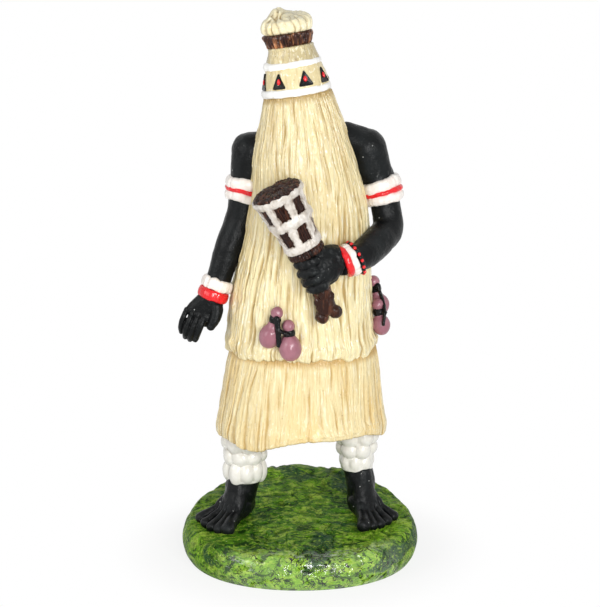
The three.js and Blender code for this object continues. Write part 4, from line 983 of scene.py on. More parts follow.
# Painted shade: a darker copy of the straw paint for the neck under the tie
SHADED_HOOD_STRAW = StrawPaint(
    "straw_hood_shaded", Slot.STRAW, (192, 177, 134), (134, 108, 66), (176, 158, 114), 0.22, 0.0, 0.1,
    bump=0.09, shine=0.5, fibres=(110.0, 5.0), streaks=(60.0, 4.0), brushed=0.5, patch=(222, 205, 156),
)
BUN_STRAW = StrawPaint(
    "straw_paint_topknot", Slot.STRAW, (246, 236, 198), (172, 146, 94), (236, 222, 176), 0.13, 0.0, 0.06,
    bump=0.2, shine=0.6, streaks=(44.0, 6.0), brushed=0.6,
)
KHAKI = StrawPaint(
    "khaki_band_paint", Slot.KHAKI, (226, 210, 164), (178, 152, 98), (210, 192, 142), 0.26, 0.0, 0.14,
    bump=0.07, shine=0.45, fibres=(70.0, 4.0), streaks=(30.0, 3.0), crest=(232, 218, 174),
    patch=(226, 208, 156),
)
WHITE = Finish(
    "white_paint_gloss", Slot.WHITE, (234, 232, 224), (178, 170, 154), (228, 225, 215), 0.2, 0.3, 0.06
)
# Its dark wash is painted shade round the windows
LATTICE_WHITE = Finish(
    "white_lattice_paint", Slot.WHITE, (220, 214, 206), (124, 106, 90), (194, 184, 172), 0.3, 0.3, 0.07,
    bump=0.12,
)
CORD_WHITE = Finish(
    "white_cord_paint", Slot.WHITE, (254, 254, 252), (236, 233, 226), (250, 249, 245), 0.4, 0.2, 0.2
)
ROSY_WHITE = Finish(
    "white_band_paint", Slot.WHITE, (247, 242, 235), (206, 190, 176), (241, 229, 220), 0.3, 0.5, 0.08
)
RED = Finish(
    "red_paint_gloss", Slot.RED, (220, 14, 24), (146, 8, 14), (230, 26, 32), 0.24, 0.4, 0.05, shine=0.3
)
BLACK = Finish(
    "black_paint_gloss", Slot.BLACK, (10, 11, 11), (5, 5, 6), (20, 21, 22), 0.22, 0.0, 0.06,
    bump=0.14, shine=0.2,
)
BROWN = BrownPaint(
    "brown_paint_brushed", Slot.BROWN, (44, 18, 7), (6, 2, 1), (98, 56, 36), 0.12, 0.0, 0.05,
    bump=0.6, shine=0.22,
)
# Its pale worn colour is rubbed paint and partly a painted highlight
TIE_BROWN = BrownPaint(
    "brown_tie_paint", Slot.BROWN, (58, 24, 10), (6, 2, 1), (222, 150, 98), 0.1, 0.0, 0.05,
    bump=0.7, shine=0.3,
)
MAUVE = Finish(
    "mauve_paint_gloss", Slot.MAUVE, (152, 98, 110), (96, 56, 66), (166, 112, 124), 0.2, 0.0, 0.06,
    stroke=4, bump=0.06, shine=0.45,
)
RESIN = Finish(
    "bare_cast_resin", Slot.RESIN, (206, 198, 180), (150, 140, 120), (190, 182, 164), 0.6, 0.0, 0.3
)


def finished(obj: Piece, finish: Finish, *nodes: str) -> None:
    """Paints a piece and gives it its place in the frame.

    Args:
        obj: The piece.
        finish: Its finish.
        nodes: The solids that it stands for.
    """
    obj.data.materials.clear()
    obj.data.materials.append(finish.material())
    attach(obj, BODY)
    if nodes:
        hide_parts(*nodes)
    LOG.info("%s: %d faces, %s", obj.name, len(obj.data.polygons), finish.name)


# Grass base


@dataclass
class GrassBase:
    """Round mound of brushed grass that climbs towards the back."""

    half_width: float = 43.5
    half_depth: float = 44.0
    edge_height: float = 11.5
    undercut: float = 1.8
    roll: float = 3.0
    crown: float = 1.8
    back_rise: float = 6.4
    squareness: float = 0.026
    columns: int = 420
    edge_rows: int = 28
    top_rows: int = 96
    seed: int = 11

    def height(self, x: Array, y: Array) -> Array:
        """Height of the plain grass.

        Args:
            x: Places across the base.
            y: Places towards the back.

        Returns:
            One height for each place.
        """
        across = (x / self.half_width) ** 2
        out = np.minimum(1, across + (y / self.half_depth) ** 2)
        climb = ease(-0.35, 1, y / self.half_depth)
        return self.edge_height + self.crown * (1 - out) + self.back_rise * climb * (1 - across)

    def _form(self, column: Array, row: Array) -> Form:
        """Points of the mound: flat underside, rolled edge and brushed top.

        Args:
            column: Numbers of the points round the mound.
            row: Their numbers from the middle of the underside to the middle of the top.

        Returns:
            The points and their grooves.
        """
        angle = column / self.columns * TURN
        edge = np.clip((row - 1) / self.edge_rows, 0, 1)
        inward = np.clip((row - 1 - self.edge_rows) / self.top_rows, 0, 1)
        insets = np.array([[self.undercut, 0], [0.5, 0.2], [0, 0.43], [0.9, 0.8], [self.roll, 1]])
        rim = spline(insets, edge)
        share = np.where(row == 0, 0.0, 1 - inward)
        plan = share * (0.985 + self.squareness * np.sin(2 * angle) ** 2)
        x = (self.half_width - rim[:, 0]) * np.cos(angle) * plan
        y = (self.half_depth - rim[:, 0]) * np.sin(angle) * plan
        top = self.height(x, y)
        z = np.where(edge < 1, rim[:, 1] * top, top)
        noise = Grain(self.seed)
        lumps = 0.6 * noise.at(x / 9, y / 9, z / 9) + 0.3 * noise.at(x / 4, y / 5 + 9, z / 4)
        strokes = noise.at(x / 1.5, y / 3.2 + 40, z / 2)
        pits = np.clip(noise.at(x / 2.2 + 70, y / 2.2, z / 2.2) - 0.35, 0, 1)
        back = ease(0.1, 0.9, y / self.half_depth)
        curls = hump(noise.at(x / 3.4 + 5, y / 3.9, z / 4 + 30), 0.09)
        curls = curls * ease(0.05, 0.3, noise.at(x / 7 + 90, y / 7, z / 7))
        relief = lumps * (0.7 + back) + 0.26 * strokes - 0.7 * pits - 0.5 * curls
        ground = ease(0.0, 0.25, edge)
        lift = np.sin(edge * math.pi / 2) * ground
        side = np.cos(edge * math.pi / 2) * ground * np.where(row == 0, 0, 1)
        points = np.column_stack([
            x + np.cos(angle) * relief * side * 0.3,
            y + np.sin(angle) * relief * side * 0.3,
            z + relief * lift * np.where(row == 0, 0, 1),
        ])
        points[row <= 1, 2] = 0
        groove = np.clip(-strokes * 0.6 + pits * 2.2 - lumps * 0.35 + curls * 0.9, 0, 1)
        return Form(points, groove)

    def build(self) -> None:
        """Models the mound and paints it."""
        mound = rolled("grass_mound", self.columns, 1 + self.edge_rows + self.top_rows, self._form)
        finished(mound, GRASS, "base_mound")


# Legs, feet and gaiters


@dataclass
class Leg:
    """A bare foot on the grass under a tufted two-tier gaiter."""

    side: Side
    at: Pair
    turn: float
    ankle: float
    shin: float
    tiers: dict[str, tuple[Pair, ...]]
    ground: GrassBase
    hem: float
    seed: int
    toes: tuple[Triple, ...]
    reach: float = 18.4
    sink: float = 0.9
    arch: float = 10.5
    heel: float = 4.4
    lobe: float = 4.7

    @property
    def name(self) -> str:
        """The side in small letters."""
        return self.side.name.lower()

    @property
    def sole(self) -> float:
        """Height of the sole under the shin."""
        return float(self.ground.height(np.array(self.at[0]), np.array(self.at[1]))) - self.sink

    def _frame(self) -> Matrix:
        """Frame on the sole under the shin.

        Returns:
            Toes along -Y, laid to the slope.
        """
        yaw = self.side.value * math.radians(self.turn)
        x, y = self.at
        toe = (x + self.reach * math.sin(yaw), y - self.reach * math.cos(yaw))
        heights = [float(self.ground.height(np.array(a), np.array(b))) for a, b in (self.at, toe)]
        pitch = math.atan2(heights[0] - heights[1], self.reach)
        turn = Matrix.Rotation(yaw, 4, "Z") @ Matrix.Rotation(pitch, 4, "X")
        return Matrix.Translation((x, y, self.sole)) @ turn

    def _in_foot(self, out: float, forward: float, rise: float) -> Triple:
        """A point of the foot: towards the small toe, towards the toes and up."""
        point = self._frame() @ Vector((self.side.value * out, -forward, rise))
        return point.x, point.y, point.z

    def _foot(self) -> Piece:
        """Shin, instep and five toe rays from the heel, cast into one skin.

        Returns:
            The new piece.
        """
        x, y = self.at
        sole, shin, arch = self.sole, self.shin, self.arch
        up = (0, 0, 1)
        back = np.array([0.08, -0.08]) * self.reach
        parts = [
            limb("shin", [
                (x, y, self.hem + 4, shin, shin),
                (x, y, sole + self.ankle + 2, shin, shin),
                (*self._in_foot(back[0] * 0.5, 0.4, self.ankle * 0.72), shin, shin),
                (*self._in_foot(back[0], back[1] + 0.8, arch * 0.45), self.heel * 0.98, self.heel * 1.05),
            ])
        ]
        instep = [
            (*self._in_foot(0.3, shin * 0.3, self.ankle * 0.92), shin * 0.72, shin * 0.72),
            (*self._in_foot(0.6, self.reach * 0.26, arch * 0.7), shin * 0.86, shin * 0.62),
            (*self._in_foot(1.0, self.reach * 0.44, arch * 0.36), shin * 0.95, shin * 0.34),
        ]
        parts.append(limb("instep", instep, front=up))
        for out, forward, r in self.toes:
            way = np.array([out, forward]) - back
            long = float(np.hypot(*way))
            ray = []
            for share, wide, top in (
                (0.0, self.heel, arch),
                (0.22, self.heel, arch * 0.97),
                (0.4, self.heel * 0.54, arch * 0.79),
                (0.55, r * 0.8, arch * 0.58),
                (0.76, r * 0.86, r * 2.5),
                (1 - 0.85 * r / long, r * 1.08, r * 2.0),
            ):
                spot = back + way * share
                ray.append((*self._in_foot(spot[0], spot[1], top / 2), wide, top / 2))
            parts.append(limb("toe_ray", ray, columns=20, rows=44, front=up, ends=(0.6, 0.85)))
        skin = fused(f"{self.name}_foot", parts, 0.22, 2)
        roughened(skin, 0.14, 1.6, self.seed)
        creased(skin)
        return skin

    def _tier(self, label: str, rings: Sequence[Pair], floor: float, seed: int) -> Piece:
        """One tier of a gaiter: rows of soft lobes that grow into each other round the shin.

        Args:
            label: The tier's name.
            rings: Reach and height of each row of lobes, from the lowest up.
            floor: Height of its foot over the ground plane.
            seed: Seed of the lobes' sizes.

        Returns:
            The tier.
        """
        rng = np.random.default_rng(seed)
        x, y = self.at
        parts = []
        for j, (radius, height) in enumerate(rings):
            lobe = self.lobe * (1 + 0.25 * (label == "upper"))
            count = round(TURN * (radius - 1.4) / lobe)
            for i in range(count):
                angle = (i + 0.5 * j + 0.2 * rng.uniform(-1, 1)) / count * TURN + seed
                size = rng.uniform(0.88, 1.12)
                deep = 3.0 * size
                out = radius - deep + 0.3
                level = floor + height * rng.uniform(0.42, 0.54)
                at = (x + out * math.cos(angle), y + out * math.sin(angle), level)
                radii = (deep, lobe * 0.6 * size, height * 0.66 * rng.uniform(0.92, 1.08))
                parts.append(ball("lobe", at, radii, Matrix.Rotation(angle, 4, "Z")))
            inner = max(radius - 1.5, self.shin + 0.6)
            core = [(x, y, floor + part * height, inner, inner) for part in (0.0, 1.1)]
            parts.append(limb("core", core, 32, 10, ends=(0.2, 0.2)))
            floor += height * 0.96
        tier = fused(f"{self.name}_gaiter_{label}_lobes", parts, 0.26, 4)
        roughened(tier, 0.1, 2.2, seed)
        creased(tier)
        return tier

    def build(self) -> None:
        """Models the foot and its gaiter and paints them."""
        finished(self._foot(), SKIN, f"{self.name}_leg")
        floor = self.sole + self.ankle
        for i, (label, rings) in enumerate(self.tiers.items()):
            tier = self._tier(label, rings, floor, self.seed * 10 + i)
            finished(tier, WHITE, f"{self.name}_gaiter_{label}")
            floor += sum(height for _, height in rings) * 0.96


# Straw

# Waves in the strands' widths: share of a strand and step from strand to strand
STRAND_WIDTH_WAVES = ((0.22, 2.3), (0.14, 5.1))
# Sway of the strands: share of a strand, waves round the figure and rise for each radian
STRAND_SWAYS = ((0.35, 3, 17.0), (0.2, -7, 11.0))


@dataclass(frozen=True)
class Belt:
    """One level of a straw form: height over the hem, sideways shift, half sizes and tilt in degrees."""

    rise: float
    shift: float
    wide: float
    deep: float
    tilt: float = 0.0


@dataclass
class StrawFall:
    """A fall of straw: irregular strands from a closed top to a hem of rounded ends."""

    name: str
    node: str
    finish: Finish
    belts: tuple[Belt, ...]
    hem_z: float
    strands: int
    levels: int
    hem_wave: Callable[[Array], Array]
    seed: int
    per_strand: int = 14
    relief: float = 0.56
    splits: int = 2
    split_depth: float = 0.24
    lumpy: float = 1.0
    wander: float = 0.26
    roll: float = 0.5
    roll_height: float = 5.0
    lip: float = 1.4
    lip_rows: int = 8
    tip_jitter: float = 0.7
    tip_round: float = 1.0
    stain: float = 1.0
    # How much darker the lip is painted where it rolls under
    lip_darkening: float = 0.5
    bead: float = 0.5
    lean: float = 0.0
    # Painted shadow: heights over the hem across which the straw darkens, under the lower cord on the veil
    # and under the veil's hem on the skirt
    shade: Pair = (87.5, 91.7)

    def belt(self, t: Array) -> Arrays:
        """Middle line and half sizes at shares of the way up.

        Args:
            t: Shares, from 0 at the hem to 1 at the top.

        Returns:
            Shift, tilt and rise in one array, and half width and half depth in another.
        """
        line = np.array([(b.shift, b.tilt, b.rise) for b in self.belts])
        sizes = np.array([(b.wide, b.deep, 0.0) for b in self.belts])
        return spline(line, t), spline(sizes, t)

    def point(self, bearing: float, rise: float) -> Arrays:
        """A point of the smooth form with its outward way.

        Args:
            bearing: Degrees from +X.
            rise: Height over the hem.

        Returns:
            The point and the way out of the surface.
        """
        t = np.linspace(0, 1, 2001)
        line, sizes = self.belt(t)
        i = int(np.argmin(np.abs(line[:, 2] - rise)))
        c, s = math.cos(math.radians(bearing)), math.sin(math.radians(bearing))
        wide, deep = sizes[i, 0], sizes[i, 1]
        at = np.array([line[i, 0] + wide * c, deep * s, self.hem_z + rise])
        return at, unit(np.array([c / wide, s / deep, 0.0]))

    def _angles(self, column: Array, rise: Array) -> Array:
        """Angles of the columns: strands of uneven width that sway on their way down.

        Args:
            column: Column numbers.
            rise: Heights over the hem.

        Returns:
            One angle for each column and height.
        """
        n, k = self.strands, self.per_strand
        edges = np.arange(n + 1, dtype=float)
        inner = edges[1:n]
        edges[1:n] += sum(share * np.sin(step * inner) for share, step in STRAND_WIDTH_WAVES)
        strand, part = column // k, (column % k) / k
        turn = (edges[strand] + (edges[strand + 1] - edges[strand]) * part) / n * TURN
        sway = sum(share * np.sin(waves * turn + rise / reach) for share, waves, reach in STRAND_SWAYS)
        finer = Grain(self.seed + 1).around(turn, 12, rise / 9)
        return turn + (sway + self.wander * finer) / n * TURN

    def _form(self, column: Array, row: Array) -> Form:
        """Points of the strands, the hem's lip, the underside and the closed top.

        Args:
            column: Numbers of the points round the fall.
            row: Their numbers along it, from the top down to the underside.

        Returns:
            The points and their grooves, which also carry the painted shadow and the darker lip.
        """
        n, k = self.strands, self.per_strand
        rng = np.random.default_rng(self.seed)
        cuts = np.where(rng.random(n) < 0.3, rng.uniform(0.3, 0.6, n), rng.uniform(0.8, 1.25, n))
        splits = rng.uniform(-0.6, 0.6, (self.splits, n))
        noise = Grain(self.seed)

        strand = column // k
        s = (column % k) / k * 2 - 1
        level = np.clip((row - 1) / self.levels, 0, 1)
        lip = np.clip((row - 1 - self.levels) / self.lip_rows, 0, 1) * math.pi / 2
        under = np.maximum(row - 1 - self.levels - self.lip_rows, 0)
        line, sizes = self.belt((1 - level) ** 1.25)
        rise = line[:, 2]
        angle = self._angles(column, rise)
        small = np.sqrt(sizes[:, 0] / self.belts[0].wide)

        side = np.where(s < 0, strand, (strand + 1) % n)
        near = cuts[side] * np.clip(0.72 + 0.8 * noise.at(side * 3.7, rise / 8), 0.12, 1.4)
        over = noise.at(strand * 5.3 + 50, rise / 22)
        lumps = 0.15 * noise.at(strand * 3.1 + 20, rise / 3.4)
        lumps = lumps + 0.12 * noise.at(strand * 6.7 + s * 1.5, rise / 2)
        low = ease(self.roll_height, 0, rise)
        valley = 0.55 * np.abs(s) ** 1.8 + 0.45 * (0.5 - 0.5 * np.cos(s * math.pi))
        split = sum(
            hump(s - place[strand] - 0.25 * noise.at(strand * 1.7 + i * 13, rise / 9), 0.15)
            * np.clip(0.5 + 1.1 * noise.at(strand * 2.9 + 7 + 31 * i, rise / 8), 0, 1.4)
            for i, place in enumerate(splits)
        )
        hairs = noise.at(strand * 9.1 + s * 3.4, rise / 6)
        dough = noise.around(angle, 8, shift=31)
        relief = 0.06 + small * (0.2 * over + self.lumpy * lumps - self.split_depth * split) + 0.06 * hairs
        relief = relief - self.relief * small * near * valley * (1 - 0.35 * low)

        bead = self.bead * hump(rise - 1.6, 2.6) * (1 + 0.6 * dough)
        inset = self.lip * (1 - np.cos(lip)) + self.roll * low**2 - bead
        inset = inset + np.select([under == 1, under == 2], [3.0, 9.0], 0.0)
        flare = relief * np.where(under > 0, 0.2, np.cos(lip * 0.7))
        fade = ease(self.roll_height * 1.4, 0, rise)
        hem = self.hem_wave(angle) + self.tip_jitter * dough + self.tip_round * near * valley**1.5
        z = rise + fade * hem + self.lip * 0.85 * (fade - np.sin(lip)) + np.where(under > 0, 0.4, 0.0)
        closed = (row == 0) | (under >= 3)
        wide = np.where(closed, 0, sizes[:, 0] + flare - inset)
        deep = np.where(closed, 0, sizes[:, 1] + flare - inset)
        z = np.select([under >= 3, row == 0], [np.full_like(z, 6.0), rise], z)
        tilt, lean = np.radians(line[:, 1]), np.radians(line[:, 1] * self.lean)
        x, y = wide * np.cos(angle), deep * np.sin(angle)
        points = np.column_stack([
            line[:, 0] + x * np.cos(tilt),
            y * np.cos(lean) + x * np.sin(tilt) * np.sin(lean),
            self.hem_z + z + x * np.sin(tilt) * np.cos(lean) - y * np.sin(lean),
        ])
        groove = self.stain * (valley**1.6 * near + 0.4 * split - 0.3 * over - 0.8 * lumps)
        # Painted shadow under the cord and under the hem above, darker paint where the lip rolls under, and
        # on the underside
        shaded = np.maximum(self.lip_darkening * np.sin(lip) ** 2, 0.8 * ease(*self.shade, rise))
        groove = np.where(under > 0, 1.0, np.maximum(groove, shaded))
        return Form(points, groove)

    def build(self) -> None:
        """Models the straw and paints it."""
        rows = 1 + self.levels + self.lip_rows + 3
        piece = rolled(self.name, self.strands * self.per_strand, rows, self._form)
        finished(piece, self.finish, self.node)


def veil_hem(angle: Array) -> Array:
    """Wave of the veil's hem round the figure."""
    waves = 1 + np.cos(5 * angle) * np.sin(2 * angle)
    return -0.9 * waves + 0.5 * np.sin(9 * angle + 1) * np.sin(4 * angle)


def skirt_hem(angle: Array) -> Array:
    """The skirt's hem hangs low at both sides and in front of the figure's right leg.

    Args:
        angle: Angles round the figure.

    Returns:
        The move of the hem along Z.
    """
    dips = ((0, -2.8, 0.45), (180, -2.4, 0.4), (228, -4.2, 0.44), (302, 0.9, 0.5))
    drop = 0.4 * np.sin(7 * angle)
    for bearing, depth, spread in dips:
        away = np.mod(angle - math.radians(bearing) + math.pi, TURN) - math.pi
        drop = drop + depth * hump(away, spread)
    return drop


# Crown and topknot


@dataclass
class Crown:
    """Tilted crown: cords, studded band, hood neck, brown tie and straw topknot."""

    place: Matrix
    base_radius: float = 11.9
    top_radius: float = 9.7
    band_top: float = 10.5
    lower_cord_z: float = 1.4
    upper_cord_z: float = 10.65
    neck_radius: float = 7.9
    neck_top: float = 16.9
    tie_top: float = 21.4
    tie_radius: float = 8.5
    tie_shift: float = -0.5
    knot_floor: float = 21.7
    knot_radius: float = 8.8
    knot_height: float = 6.3
    studs: int = 8
    stud_first: float = 18.0
    stud_width: float = 5.4
    stud_height: float = 6.2
    stud_thickness: float = 0.45
    stud_strays: tuple[float, ...] = (0, -2, 8, 0, 0, 0, -7, -4)
    seed: int = 31

    def _cone(self, z: float) -> float:
        """Radius of the band's cone at a height."""
        return self.base_radius + (self.top_radius - self.base_radius) * z / self.band_top

    def _cord(self, label: str, z: float, radius: float, size: float, lump: float, seed: int) -> None:
        """A flat white cord with the unevenness of thick paint.

        Args:
            label: Which cord it is.
            z: Height of its middle.
            radius: Radius of the band under it.
            size: Its height.
            lump: Swelling at its end on the figure's right.
            seed: Seed of its unevenness.
        """
        noise = Grain(seed)

        def bulge(angle: Array) -> Array:
            """Fullness of the cord."""
            wide, fine = (noise.around(angle, reach) for reach in (6, 17))
            end = hump(np.mod(angle, TURN) - math.pi * 1.08, 0.24)
            return 1 - 0.16 * np.cos(angle) + 0.12 * wide + 0.1 * fine + lump * end

        def sway(angle: Array) -> Array:
            """Unevenness of its line."""
            return 0.2 * noise.around(angle, 3, shift=5)

        place = self.place @ Matrix.Translation((0, 0, z))
        name = f"crown_{label}_white_cord"
        cord = banded(name, place, radius - 1.15, 1.6, size, bulge, sway, square=0.5)
        finished(cord, CORD_WHITE, f"crown_{label}_cord")

    @staticmethod
    def _flutes(count: int, depth: float, seed: int) -> Relief:
        """Shallow straw flutes for a turned piece.

        Args:
            count: Strands round the piece.
            depth: Depth of the grooves.
            seed: Seed of their unevenness.

        Returns:
            A relief for a turned piece.
        """
        noise = Grain(seed)

        def relief(angle: Array, z: Array) -> Arrays:
            """Move outwards and groove value."""
            drift = noise.around(angle, 4, z / 9) * 1.6
            cut = crease(angle * count / 2 + drift, 1.7)
            strength = np.clip(0.5 + 0.8 * noise.around(angle, 9, z / 6), 0, 1.2)
            lump = 0.18 * noise.around(angle, 7, z / 3)
            return lump - depth * cut * strength, 0.7 * cut * strength - lump

        return relief

    def _band(self) -> None:
        """Khaki band between the cords, with faint flutes."""
        cone = self._cone
        profile = [
            (0, -1.5), (self.base_radius * 0.7, -1.2), (cone(0) - 0.3, 0.3), (cone(2.6) + 0.3, 2.6),
            (cone(5.2) + 0.35, 5.2), (cone(8) + 0.3, 8), (cone(10) - 0.3, 10.3), (0, 10.5),
        ]
        flutes = self._flutes(30, 0.22, self.seed)
        band = turned("khaki_crown_band", profile, self.place, 180, 60, flutes)
        finished(band, KHAKI, "crown_band")

    def _neck(self) -> None:
        """Straw gathered in towards the tie."""
        r = self.neck_radius
        profile = [
            (0, 10.6), (r + 1.3, 10.7), (r + 1.45, 11.6), (r + 1.1, 13.0), (r + 0.55, 14.6),
            (r + 0.2, 15.8), (r + 0.1, 16.9), (0, 17.0),
        ]
        flutes = self._flutes(26, 0.3, self.seed + 1)
        neck = turned("hood_straw_neck", profile, self.place, 240, 60, flutes)
        finished(neck, SHADED_HOOD_STRAW, "hood_neck")

    def _tie(self) -> None:
        """Brown binding of short upright strands."""
        r, low, high = self.tie_radius, self.neck_top, self.tie_top + 0.2
        noise = Grain(self.seed + 2)
        profile = [
            (0, low + 0.2), (r - 2, low), (r - 1, low + 0.1), (r - 0.4, low + 1.2),
            (r - 0.05, (low + high) / 2), (r + 0.4, high - 1.1), (r + 0.05, high - 0.1), (r - 1.4, high),
            (0, high),
        ]
        place = self.place @ Matrix.Translation((self.tie_shift, 0, 0))

        def relief(angle: Array, z: Array) -> Arrays:
            """Slanting strands of uneven size."""
            drift = noise.around(angle, 5) * 2.2 + (z - low) * 0.22
            cut = crease(angle * 23 + drift, 1.6)
            lump = 0.4 * noise.around(angle, 12, z / 1.4)
            return lump - 0.6 * cut, cut * 0.8 - lump

        tie = turned("topknot_brown_tie", profile, place, 276, 40, relief)
        finished(tie, TIE_BROWN, "topknot_tie")

    def _topknot(self) -> None:
        """Puffed straw bun with a dimple, and a knot that peaks at its left rear."""
        columns, rows = 300, 90
        noise = Grain(self.seed + 3)
        r, low, tall = self.knot_radius, self.knot_floor, self.knot_height
        outline = np.array([
            [0, 0.02], [r - 2.2, 0.0], [r - 0.6, 0.03], [r + 0.05, 0.18], [r + 0.2, 0.4], [r - 0.1, 0.6],
            [r - 0.9, 0.77], [r - 2.6, 0.9], [r * 0.45, 0.96], [0, 0.96],
        ])
        knot_at, dimple_at = np.array([-2.8, 1.4]), np.array([-3.0, -3.2])

        def shape(column: Array, row: Array) -> Form:
            """Points of the bun."""
            share = row / rows
            angle = column / columns * TURN
            radius, level = swept(outline, share)
            drift = noise.around(angle, 4, share * 3) * 1.5
            wave = np.abs(np.sin(angle * 9.5 + drift))
            strength = 0.75 + 0.6 * noise.around(angle, 8, share * 3)
            cut = (1 - wave) ** 2.2 * np.clip(strength, 0.15, 1.2)
            full = ease(0, 4, radius)
            swell = 0.5 * noise.around(angle, 3, share * 3, shift=9)
            radius = radius + full * (swell + 0.25 * wave - 0.95 * cut)
            x, y = radius * np.cos(angle), radius * np.sin(angle)
            z = low + level * tall
            on_top = ease(0.55, 0.8, share)
            knot = hump(np.hypot(x - knot_at[0], y - knot_at[1]), 3.1)
            aside, ahead = x - dimple_at[0], y - dimple_at[1]
            dimple = hump(np.hypot(aside, ahead * 1.2), 1.5)
            rim = ease(-3.0, 2.0, x) * hump(np.hypot((x - 3.5) / 1.3, y - 3), 4.5)
            bearing = np.arctan2(ahead, aside)
            pleats = np.sin(bearing * 7 + noise.at(x / 3, y / 3) * 2)
            pleats = pleats * hump(np.hypot(aside, ahead) - 2.6, 2.2)
            folds = 0.3 * noise.at(x / 1.7, y / 1.7, 3.3) + 0.5 * pleats
            z = z + on_top * (2.7 * knot - 3.0 * dimple + 0.4 * rim + 0.1 * y + folds)
            points = moved(np.column_stack([x, y, z]), self.place)
            groove = cut * 0.7 * full + on_top * (dimple * 0.9 - folds * 0.8)
            return Form(points, groove)

        bun = rolled("straw_topknot_bun", columns, rows, shape)
        finished(bun, BUN_STRAW, "topknot")

    def _stud_frame(self, number: int) -> Matrix:
        """Frame on the cone for one stud.

        Args:
            number: The stud's number.

        Returns:
            X sideways, Y up the cone and Z outwards.
        """
        angle = math.radians(self.stud_first + self.stud_strays[number]) + number / self.studs * TURN
        z = (self.lower_cord_z + 1.1 + self.upper_cord_z - 1.2) / 2
        slope = math.atan2(self.base_radius - self.top_radius, self.band_top)
        out = self._cone(z) + 0.2
        spot = Matrix.Translation((out * math.sin(angle), -out * math.cos(angle), z))
        turn = Matrix.Rotation(angle, 4, "Z") @ Matrix.Rotation(math.pi / 2 - slope, 4, "X")
        return self.place @ spot @ turn

    def _triangle(self) -> Piece:
        """A raised triangle with rounded corners and a sunk middle.

        Returns:
            The triangle in its own frame, in millimetres.
        """
        deselect()
        bpy.ops.mesh.primitive_circle_add(vertices=3, radius=1, fill_type="NGON")
        obj = bpy.context.object
        points = points_of(obj)
        low, high = points.min(axis=0), points.max(axis=0)
        points = (points - (low + high) / 2) / np.where(high > low, high - low, 1)
        points = points * np.array([self.stud_width, self.stud_height, 1]) + np.array([0, 0, -0.5])
        obj.data.vertices.foreach_set("co", points.astype(np.float32).ravel())
        edit_all(obj)
        bpy.ops.mesh.bevel(offset=0.85, segments=4, affect="VERTICES")
        bpy.ops.mesh.select_all(action="SELECT")
        bpy.ops.mesh.extrude_region_move(TRANSFORM_OT_translate={"value": (0, 0, self.stud_thickness + 0.5)})
        bpy.ops.mesh.inset(thickness=0.7, depth=0)
        bpy.ops.transform.translate(value=(0, 0, -0.25))
        bpy.ops.mesh.select_all(action="SELECT")
        bpy.ops.mesh.normals_make_consistent(inside=False)
        bpy.ops.object.mode_set(mode="OBJECT")
        modify(obj, "BEVEL", width=0.22, segments=3, limit_method="ANGLE")
        modify(obj, "SUBSURF", levels=1, render_levels=1)
        return obj

    def _studs(self) -> None:
        """Eight black triangles, each with a red drop, copied from one of each."""
        triangle = self._triangle()
        flat = points_of(triangle)
        drop = ball("drop", (0, 0, 0), (0.7, 1.0, 0.35))
        gem = points_of(drop) / MM
        gem[:, 0] *= 1 - 0.25 * gem[:, 1]
        rng = np.random.default_rng(self.seed)
        for i in range(self.studs):
            place = self._stud_frame(i)
            for label, source, points, finish, height in (
                ("stud", triangle, flat, BLACK, 0.0),
                ("gem", drop, gem, RED, self.stud_thickness),
            ):
                pick(source)
                bpy.ops.object.duplicate()
                obj = named(f"crown_{label}_{i + 1}_raised")
                uneven = points * rng.uniform(0.94, 1.06, 3)
                shift = np.array([0, -0.35, height - 0.02]) if label == "gem" else np.zeros(3)
                set_form(obj, Form(moved(uneven + shift, place)))
                smooth(obj)
                finished(obj, finish, f"crown_{label}_{i + 1}")
        for source in (triangle, drop):
            bpy.data.objects.remove(source)

    def build(self) -> None:
        """Models the crown from the cords up and paints it."""
        self._band()
        self._cord("lower", self.lower_cord_z, self.base_radius, 2.8, 0.0, self.seed + 4)
        self._cord("upper", self.upper_cord_z, self.top_radius, 2.6, 0.25, self.seed + 5)
        self._neck()
        self._tie()
        self._topknot()
        self._studs()


# Arms and their bands


@dataclass(frozen=True)
class SoftRing:
    """A ring of soft tufts round an arm.

    Its distance runs along the arm, its size is thickness and height, and the depth of the creases
    between the tufts is a share of the thickness. Square is the roundness of its section.
    """

    label: str
    node: str
    finish: Finish
    distance: float
    size: Numbers
    tufts: int
    depth: float
    square: float = 0.7


